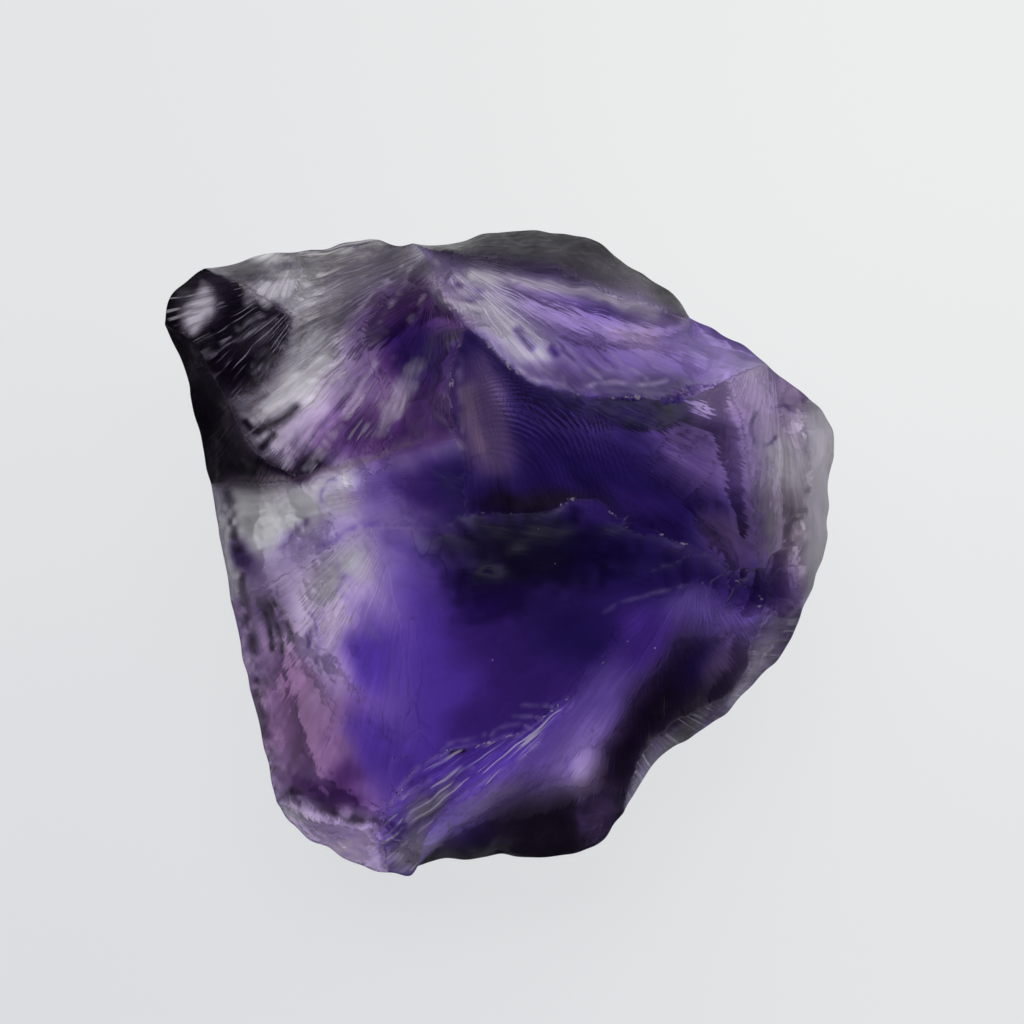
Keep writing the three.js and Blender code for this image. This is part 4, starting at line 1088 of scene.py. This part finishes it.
def grain_at(look, middle, spots):
    """Distance across and along the hackles, which fan out from a point."""
    start = np.array(look["fan"])
    toward = middle - start
    reach = np.linalg.norm(toward)
    ahead = toward / reach
    gap = spots[:, :2] - start
    along = gap @ ahead
    aside = gap @ np.array([-ahead[1], ahead[0]])
    far = np.hypot(along, aside)
    return np.column_stack([np.arctan2(aside, along) * reach, far, np.zeros(len(far))])


def hackles_at(grain, spacing):
    """Broad hackles and finer ones, as noise that is drawn out along the grain."""
    across, along = grain[:, 0], grain[:, 1]
    broad = soft_noise(across / spacing, along / (hackle_length * spacing) + hackle_start)
    finer = soft_noise(across * finer_hackles / spacing, along / (finer_length * spacing) + finer_start)
    return broad, finer


def ripples_at(spots):
    """Phase and rise of the ripples at each spot."""
    phase = np.zeros(len(spots))
    rise = np.zeros(len(spots))
    drift = ripple_drift * noise_at("ripple", spots)
    for ripple in ripples:
        far = np.hypot(spots[:, 0] - ripple["x"], spots[:, 1] - ripple["y"])
        own = ripple["rise"] * np.clip(2 - 2 * oval(ripple["zone"], spots), 0, 1)
        phase = np.where(own > rise, (far + drift) / ripple["spacing"], phase)
        rise = np.maximum(rise, own)
    return phase, rise


def patches_at(zones, spots):
    """The strongest of some zones at each spot, with ragged edges."""
    ragged = patch_ragged * noise_at("patch", spots)
    made = np.zeros(len(spots))
    for zone in zones:
        share = ease(np.clip(patch_reach - oval(zone, spots) + ragged, 0, 1))
        made = np.maximum(made, zone[5] * share)
    return made


def close_points(line):
    """Points along a smooth line, a small step apart, seen from above."""
    line = smooth_line(line)
    far = distance_along(line)
    places = np.arange(0, far[-1], line_step)
    return np.column_stack([np.interp(places, far, line[:, 0]), np.interp(places, far, line[:, 1])])


def fade_from(lines, strengths, reach, spots):
    """Each line's strength at the spots on it, fading to nothing a few reaches away."""
    points = [close_points(line) for line in lines]
    shares = np.concatenate([np.full(len(part), share) for part, share in zip(points, strengths)])
    tree = KDTree(len(shares))
    for number, (x, y) in enumerate(np.vstack(points)):
        tree.insert((x, y, 0), number)
    tree.balance()
    found = [tree.find((x, y, 0))[1:] for x, y in spots[:, :2]]
    numbers, gaps = np.array(found).T
    return shares[numbers.astype(int)] * np.exp(-((gaps / reach) ** 2))


def linear(tint):
    """A named tint in linear light."""
    seen = np.array(palette[tint]) / 255
    return np.where(seen <= 0.04045, seen / 12.92, ((seen + 0.055) / 1.055) ** 2.4)


def shown_as(tint):
    """The logarithm of the surface tint that makes the stone show a colour over a pale floor."""
    return np.log(np.clip(linear(tint) / np.array(clear_look), least_tint, 1))


def tint_of(look, spots):
    """A face's tint with its zones laid over it."""
    tint = np.tile(shown_as(look["tint"]), (len(spots), 1))
    for zone in look["zones"]:
        part = ease(np.clip((zone_reach - oval(zone, spots)) / zone_fade, 0, 1))[:, None]
        tint += part * (shown_as(zone[5]) - tint)
    return tint


def looks_at(spots, faces):
    """Tint, grain and strengths at each spot, from the face that it lies on or under."""
    count = len(spots)
    made = {"tint": np.ones((count, 4)), "grain": np.zeros((count, 3))}
    for field in ("relief", "streak", "frost", "peel"):
        made[field] = np.zeros(count)
    shift = np.column_stack([noise_at(name, spots) for name in ("shake_x", "shake_y")])
    shaken = spots[:, :2] + shake * shift
    for number, (name, face) in enumerate(upper_faces.items()):
        look = looks[name]
        own = np.flatnonzero(faces == number)
        here = spots[own]
        grain = grain_at(look, closed_loop(face["loop"])[:, :2].mean(0), here)
        broad, finer = hackles_at(grain, look["spacing"])
        lump = noise_at("lump", here) + small_lumps * noise_at("small_lump", here)
        cloud = noise_at("cloud", here) + small_clouds * noise_at("small_cloud", here)
        hackles = look["streak"] * (hackles_in_tint * broad + finer_in_tint * finer)
        change = hackles + cloud_in_tint * cloud
        made["tint"][own, :3] = tint_of(look, shaken[own]) + change[:, None]
        made["grain"][own] = grain
        made["relief"][own] = look["rise"] * broad + look["lumps"] * lump
        for field in ("streak", "frost", "peel"):
            made[field][own] = look[field]
    return made


def gap_to(path, spots):
    """Distance from each spot to a smooth line, seen from above."""
    line = smooth_line(path)[:, :2]
    least = np.full(len(spots), np.inf)
    for start, way in zip(line, np.diff(line, axis=0)):
        gap = spots[:, :2] - start
        part = np.clip(gap @ way / (way @ way), 0, 1)
        least = np.minimum(least, np.linalg.norm(gap - part[:, None] * way, axis=1))
    return least


def draw_hair(look, spots, ragged, kind, path):
    """Lays one fine line on the tint, the relief and the bruises."""
    tint, wide, strength, rise = kind
    reach = hair_reach * wide
    low, high = np.min(path, axis=0) - reach, np.max(path, axis=0) + reach
    near = np.flatnonzero(((spots[:, :2] > low) & (spots[:, :2] < high)).all(1))
    part = np.exp(-((gap_to(path, spots[near]) / wide) ** 2))
    if tint not in solid_lines:
        part *= ragged[near]
    look["tint"][near, :3] += (strength * part)[:, None] * (shown_as(tint) - look["tint"][near, :3])
    look["relief"][near] += rise * part
    if tint in line_bruise:
        look["bruise_and_sheen"][near] += strength * part * (line_bruise[tint] - look["bruise_and_sheen"][near])


def draw_hairs(look, spots):
    """Lays all the fine lines on the stone."""
    ragged = np.clip(hair_mean + hair_swing * noise_at("hair", spots), 0, 1)
    for tint, wide, strength, rise, *paths in hairs.values():
        for path in paths:
            draw_hair(look, spots, ragged, (tint, wide, strength, rise), path)


def blended(values, edges, share, steps):
    """Each vertex moves toward the mean of its neighbours, as far as its share says."""
    starts, ends = edges.T
    count = np.bincount(edges.ravel(), minlength=len(values))
    for _ in range(steps):
        for axis in range(values.shape[1]):
            own = values[:, axis]
            total = np.bincount(starts, own[ends], len(own)) + np.bincount(ends, own[starts], len(own))
            values[:, axis] = own + share * (total / count - own)


def bite_off(vertices, fade):
    """Small round flakes off the ridges, as if a ball had been pressed into them."""
    chance = np.random.default_rng(bite_seed)
    for name in worn:
        line = smooth_line(ridge[name])
        length = np.linalg.norm(np.diff(line, axis=0), axis=1).sum()
        for _ in range(int(length / bite_spacing)):
            x, y, z = line[chance.integers(1, len(line) - 1)]
            radius = chance.uniform(*bite_radius)
            sunk = chance.uniform(*bite_depth)
            shift = chance.uniform(-bite_shift, bite_shift, 2)
            gap = (vertices[:, 0] - x - shift[0]) ** 2 + (vertices[:, 1] - y - shift[1]) ** 2
            near = np.flatnonzero(gap < radius**2)
            ball = z - sunk + gap[near] / (2 * radius)
            lower = np.minimum(vertices[near, 2], ball)
            vertices[near, 2] += fade[near] * (lower - vertices[near, 2])


def stone_sides():
    """The upper and the lower side, with the marks on the upper one."""
    edge = rim_points(rim_count)
    upper = side_of(upper_faces, ridge, upper_rings, edge, 1)
    lower = side_of(lower_faces, keel, lower_rings, edge, -1)
    for side in (upper, lower):
        side["inner"] = 1 - fade_from(rim.values(), [1] * len(rim), rim_reach, side["vertices"])
    for mark in marks.values():
        fade = np.clip(mark_fade * upper["share"], 0, 1)
        upper["vertices"][:, 2] += mark_at(mark, upper["vertices"]) * fade
    return upper, lower


def round_off(upper, look):
    """Rounds the worn ridges, and blends the tints on both sides of them."""
    spots = upper["vertices"]
    sharp = [name for name in ridge if name not in rounded]
    share = fade_from([ridge[name] for name in rounded], rounded.values(), round_width, spots)
    kept = fade_from([ridge[name] for name in sharp], [1] * len(sharp), sharp_width, spots)
    share = share * (1 - kept) * upper["inner"]
    tint = look["tint"][:, :3]
    blended(tint, upper["edges"], upper["inner"] * seam_share, seam_steps)
    blended(tint, upper["edges"], share, round_tint_steps)
    blended(spots[:, 2:], upper["edges"], share, round_height_steps)


def dress_upper(upper):
    """Relief and looks of the upper side, with painted shade along the rim."""
    spots = upper["vertices"]
    fade = upper["inner"]
    look = looks_at(spots, upper["faces"])
    round_off(upper, look)
    look["bruise_and_sheen"] = patches_at(bruises_and_sheens, spots)
    look["cloud"] = patches_at(clouds, spots)
    draw_hairs(look, spots)
    # Painted shade: the tint darkens unevenly near the listed stretches of the rim
    shade = fade_from([rim[name] for name in painted_rim_shade], painted_rim_shade.values(), shade_width, spots)
    uneven = shade_mean + shade_swing * noise_at("rim", spots)
    look["tint"][:, :3] -= shade_depth * np.clip(shade * uneven, 0, 1)[:, None]
    look["tint"][:, :3] = np.exp(over_tint * look["tint"][:, :3])
    near_ridge = np.clip(upper["edge_gap"] / relief_width, least_relief, 1)
    spots[:, 2] += look["relief"] * np.minimum(fade, near_ridge)
    bite_off(spots, fade)
    look["ripple"], look["ripple_rise"] = ripples_at(spots)
    look["wear"] = fade_from([ridge[name] for name in worn], worn.values(), wear_width, spots)
    return look


def dress_lower(lower):
    """Relief and looks of the lower side, tinted as the stone above it."""
    spots = lower["vertices"]
    loops = [closed_loop(face["loop"]) for face in upper_faces.values()]
    look = looks_at(spots, face_of(loops, spots * under_inset))
    lump = noise_at("under", spots) + under_small_lumps * noise_at("small_lump", spots)
    fade = lower["inner"] * np.clip(spots[:, 2] / foot_height, 0, 1)
    tint = look["tint"][:, :3]
    blended(tint, lower["edges"], np.ones(len(spots)), under_steps)
    # Stronger tint toward the rim: the colour of the lower side, and also painted shade near the edges of
    # the stone
    nearness = np.clip(spots[:, 2] / rim_height, 0, 1) ** 2
    strength = under_tint + (rim_tint_and_shade - under_tint) * nearness
    look["tint"][:, :3] = np.exp(strength[:, None] * tint)
    spots[:, 2] += (under_lumps * lump + look["relief"]) * fade
    look["frost"][:] = under_frost
    look["peel"][:] = under_peel
    for field in ("ripple", "ripple_rise", "wear", "bruise_and_sheen", "cloud"):
        look[field] = np.zeros(len(spots))
    return look


def joined(upper, lower):
    """The vertices and triangles of both sides, which share the rim, and how many the lower one adds."""
    added = len(lower["vertices"]) - rim_count
    rim_first = len(upper["vertices"]) - rim_count
    below = lower["triangles"]
    below = np.where(below < added, below + len(upper["vertices"]), below - added + rim_first)
    triangles = np.vstack([upper["triangles"], below[:, ::-1]])
    vertices = np.vstack([upper["vertices"], lower["vertices"][:added]])
    return vertices, triangles, added


def stone_mesh(upper, lower):
    """Joins the two sides at the rim into one closed mesh, in metres."""
    looks_above = dress_upper(upper)
    looks_below = dress_lower(lower)
    vertices, triangles, added = joined(upper, lower)
    for axis, name in enumerate(("wander_x", "wander_y")):
        vertices[:, axis] += wander * noise_at(name, vertices) * np.clip(vertices[:, 2], 0, 1)
    mesh = bpy.data.meshes.new("amethyst_stone")
    mesh.from_pydata((vertices / metre).tolist(), [], triangles.tolist())
    mesh.validate()
    mesh.shade_smooth()
    mesh.set_sharp_from_angle(angle=sharp_angle)
    kinds = {"tint": ("FLOAT_COLOR", "color"), "grain": ("FLOAT_VECTOR", "vector")}
    for name in ("tint", "grain", "streak", "frost", "peel", "ripple", "ripple_rise", "wear", "bruise_and_sheen",
                 "cloud"):
        kind, field = kinds.get(name, ("FLOAT", "value"))
        values = np.concatenate([looks_above[name], looks_below[name][:added]]).astype(np.float32)
        mesh.attributes.new(name, kind, "POINT").data.foreach_set(field, values.ravel())
    return mesh


# Material

class Nodes:
    """Short forms for the nodes of one material."""

    def __init__(self, tree):
        self.tree = tree

    def add(self, kind, **settings):
        made = self.tree.nodes.new(kind)
        for name, value in settings.items():
            setattr(made, name, value)
        return made

    def feed(self, socket, value):
        if isinstance(value, bpy.types.NodeSocket):
            self.tree.links.new(value, socket)
        else:
            socket.default_value = value

    def feed_all(self, node, values):
        for name, value in values.items():
            self.feed(node.inputs[name], value)

    def math(self, operation, a, b=0.0):
        made = self.add("ShaderNodeMath", operation=operation)
        self.feed(made.inputs[0], a)
        self.feed(made.inputs[1], b)
        return made.outputs[0]

    def plus(self, a, b):
        return self.math("ADD", a, b)

    def minus(self, a, b):
        return self.math("SUBTRACT", a, b)

    def times(self, a, b):
        return self.math("MULTIPLY", a, b)

    def scaled(self, vector, scale):
        made = self.add("ShaderNodeVectorMath", operation="MULTIPLY")
        self.feed(made.inputs[0], vector)
        self.feed(made.inputs[1], scale)
        return made.outputs[0]

    def field(self, name, output="Fac"):
        return self.add("ShaderNodeAttribute", attribute_name=name).outputs[output]

    def noise(self, vector, detail, roughness, dimensions):
        made = self.add("ShaderNodeTexNoise", noise_dimensions=dimensions)
        self.feed_all(made, {"Vector": vector, "Scale": 1.0, "Detail": detail, "Roughness": roughness})
        return made.outputs["Fac"]

    def ranged(self, value, low, high, new_low=0.0, new_high=1.0):
        made = self.add("ShaderNodeMapRange", interpolation_type="SMOOTHSTEP")
        for socket, given in zip(made.inputs, (value, low, high, new_low, new_high)):
            self.feed(socket, given)
        return made.outputs[0]

    def mixed(self, share, a, b):
        made = self.add("ShaderNodeMix", data_type="RGBA")
        self.feed_all(made, {"Factor": share, "A": a, "B": b})
        return made.outputs["Result"]


def new_material(name):
    """A material with its shader, and the short forms for its nodes."""
    material = bpy.data.materials.new(name)
    material.use_nodes = True
    tree = material.node_tree
    return material, tree.nodes["Principled BSDF"], Nodes(tree)


def surface_fields(nodes):
    """What the mesh says at each spot, and the noises of the material."""
    made = {name: nodes.field(name) for name in ("streak", "frost", "wear", "peel", "bruise_and_sheen", "cloud")}
    made["tint"] = nodes.field("tint", "Color")
    made["grain"] = nodes.field("grain", "Vector")
    made["place"] = nodes.scaled(nodes.add("ShaderNodeTexCoord").outputs["Object"], (metre, metre, metre))
    for name, (over, pace, detail, roughness) in textures.items():
        dimensions = "2D" if over == "grain" else "3D"
        made[name] = nodes.noise(nodes.scaled(made[over], pace), detail, roughness, dimensions)
    wave = nodes.math("SINE", nodes.times(nodes.field("ripple"), 2 * pi))
    made["ripple"] = nodes.times(wave, nodes.field("ripple_rise"))
    return made


def streaked_tint(nodes, fields):
    """The tint, lighter and darker along the hackles and the ripples."""
    swing = nodes.times(nodes.minus(fields["fine"], 0.5), fields["streak"])
    swing = nodes.plus(nodes.times(swing, streak_colour), nodes.times(fields["ripple"], ripple_colour))
    return nodes.scaled(fields["tint"], nodes.math("POWER", 2.0, swing))


def chips_at(nodes, fields):
    """Where the worn ridges are chipped, from 0 to 1."""
    return nodes.ranged(nodes.times(nodes.times(fields["wear"], fields["grit"]), fields["drifts"]),
                        *chip_steps)


def dust_at(nodes, fields):
    """Where a speck of dust lies, as 0 or 1."""
    dust = nodes.add("ShaderNodeTexVoronoi", feature="F1")
    nodes.feed_all(dust, {"Vector": fields["place"], "Scale": dust_pace})
    size = nodes.times(nodes.ranged(fields["grit"], *dust_steps), dust_size)
    return nodes.math("LESS_THAN", dust.outputs["Distance"], size)


def bruises_and_sheens_at(nodes, fields):
    """Bruises and painted sheens, from 0 to 1, with pale scratches where the hackles are strong."""
    strokes = nodes.times(nodes.ranged(fields["scratch"], *scratch_steps),
                          nodes.ranged(fields["drifts"], *scratch_drifts))
    strokes = nodes.times(strokes, nodes.ranged(fields["streak"], *scratch_streaks))
    bruise_and_sheen = nodes.times(fields["bruise_and_sheen"], nodes.ranged(fields["fine"], *bruise_and_sheen_steps))
    return nodes.math("MAXIMUM", bruise_and_sheen, strokes)


def clearness(nodes, fields, bruise_and_sheen):
    """How much light goes through."""
    clear = nodes.minus(clear_share, nodes.times(bruise_and_sheen, bruise_and_sheen_veil))
    clear = nodes.minus(clear, nodes.times(fields["cloud"], cloud_veil))
    return nodes.math("MAXIMUM", clear, least_clear)


def roughness_at(nodes, fields, chipped):
    """Smooth where the break is clean, and dull where it is frosted or chipped."""
    frosted = nodes.times(fields["frost"], nodes.ranged(fields["bumps"], *frost_steps))
    rough = nodes.plus(nodes.plus(smooth_rough, frosted), nodes.times(chipped, chip_rough))
    return nodes.math("MINIMUM", rough, most_rough)


def bumped(nodes, fields):
    """The fine relief, as a bend of the surface."""
    level = nodes.plus(fields["ripple"], nodes.times(nodes.times(fields["fine"], fields["streak"]),
                                                     streak_bump))
    for field, share in (("peel", peel_bump), ("wear", wear_bump)):
        level = nodes.plus(level, nodes.times(nodes.times(fields["bumps"], fields[field]), share))
    bump = nodes.add("ShaderNodeBump")
    nodes.feed_all(bump, {"Strength": 1.0, "Distance": bump_scale, "Height": level})
    return bump.outputs["Normal"]


def add_absorption(nodes):
    """The violet inside the stone."""
    volume = nodes.add("ShaderNodeVolumeAbsorption")
    nodes.feed_all(volume, {"Color": violet_inside, "Density": violet_density})
    nodes.feed(nodes.tree.nodes["Material Output"].inputs["Volume"], volume.outputs["Volume"])


def amethyst_material():
    """Clear quartz with violet inside, and a tint with painted shade, scratches, bruises and painted
    sheens on its surface.
    """
    material, shader, nodes = new_material("amethyst_crystal")
    fields = surface_fields(nodes)
    chipped = chips_at(nodes, fields)
    bruise_and_sheen = bruises_and_sheens_at(nodes, fields)
    tint = streaked_tint(nodes, fields)
    tint = nodes.mixed(nodes.times(chipped, chip_share), tint, chip_tint)
    tint = nodes.mixed(nodes.times(dust_at(nodes, fields), dust_share), tint, dust_tint)
    # Bruises whiten the tint, and so do painted sheens that stand in for reflections of the window
    tint = nodes.mixed(bruise_and_sheen, tint, bruise_and_sheen_tint)
    nodes.feed_all(shader, {
        "Base Color": tint,
        "Transmission Weight": clearness(nodes, fields, bruise_and_sheen),
        "Roughness": roughness_at(nodes, fields, chipped),
        "Normal": bumped(nodes, fields),
        "IOR": quartz_ior,
        "Specular IOR Level": mirror_level,
        "Specular Tint": nodes.scaled(tint, mirror_tint),
    })
    add_absorption(nodes)
    return material


# Stage

def floor_shade(nodes):
    """The glow of the floor, which changes a little across it and fades far out."""
    place = nodes.add("ShaderNodeTexCoord").outputs["Object"]
    split = nodes.add("ShaderNodeSeparateXYZ")
    nodes.feed(split.inputs["Vector"], place)
    across = [nodes.mixed(nodes.ranged(split.outputs[axis], -floor_reach, floor_reach), *glows)
              for axis, glows in floor_glows.items()]
    far = nodes.add("ShaderNodeVectorMath", operation="LENGTH")
    nodes.feed(far.inputs[0], place)
    return nodes.scaled(nodes.scaled(*across), nodes.ranged(far.outputs["Value"], *floor_fade))


def pale_floor():
    """A floor that is lit from below as on a light table, and takes a little shade from above."""
    mesh = bpy.data.meshes.new("floor")
    corners = [(-1, -1), (1, -1), (1, 1), (-1, 1)]
    mesh.from_pydata([(x * floor_half, y * floor_half, 0) for x, y in corners], [], [(0, 1, 2, 3)])
    surface = bpy.data.objects.new("floor", mesh)
    surface.location.z = -floor_drop
    material, shader, nodes = new_material("floor")
    nodes.feed_all(shader, {
        "Base Color": floor_tint,
        "Roughness": 1.0,
        "Specular IOR Level": 0.0,
        "Emission Color": floor_shade(nodes),
        "Emission Strength": floor_glow,
    })
    mesh.materials.append(material)
    bpy.context.collection.objects.link(surface)


def studio_world():
    """A dark room that is a little lighter at its foot."""
    world = bpy.data.worlds.new("studio")
    world.use_nodes = True
    nodes = Nodes(world.node_tree)
    split = nodes.add("ShaderNodeSeparateXYZ")
    nodes.feed(split.inputs["Vector"], nodes.add("ShaderNodeTexCoord").outputs["Generated"])
    ramp = nodes.add("ShaderNodeValToRGB")
    for stop, (position, tint) in zip(ramp.color_ramp.elements, world_stops):
        stop.position = position
        stop.color = tint
    nodes.feed(ramp.inputs["Fac"], split.outputs["Z"])
    nodes.feed(world.node_tree.nodes["Background"].inputs["Color"], ramp.outputs["Color"])
    bpy.context.scene.world = world


def soft_window():
    """A large soft light from the north."""
    light = bpy.data.lights.new("window", "AREA")
    light.shape = "RECTANGLE"
    light.size, light.size_y = window_size
    light.energy = window_power
    lamp = bpy.data.objects.new("window", light)
    lamp.location = window_place
    lamp.rotation_euler = (Vector(window_aim) - lamp.location).to_track_quat("-Z", "Y").to_euler()
    bpy.context.collection.objects.link(lamp)


def camera_above():
    """Looks straight down, from far enough for a nearly parallel view."""
    scale = width / metre / photo_width
    camera = bpy.data.cameras.new("camera")
    camera.sensor_width = sensor_width
    camera.lens = sensor_width * (camera_distance - rim_level) / (scale * photo_side)
    camera.clip_start, camera.clip_end = camera_range
    eye = bpy.data.objects.new("camera", camera)
    half = photo_side / 2
    eye.location = ((half - photo_middle[0]) * scale, (photo_middle[1] - half) * scale, camera_distance)
    bpy.context.collection.objects.link(eye)
    bpy.context.scene.camera = eye


camera_above()
stone = bpy.data.objects.new("amethyst_stone", stone_mesh(*stone_sides()))
stone.data.materials.append(amethyst_material())
bpy.context.collection.objects.link(stone)
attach(stone, "root")
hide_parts("amethyst")

pale_floor()
studio_world()
soft_window()

scene = bpy.context.scene
scene.view_settings.view_transform = "Standard"
scene.cycles.max_bounces = light_bounces
scene.cycles.transmission_bounces = light_bounces
scene.cycles.caustics_reflective = False
scene.cycles.caustics_refractive = False
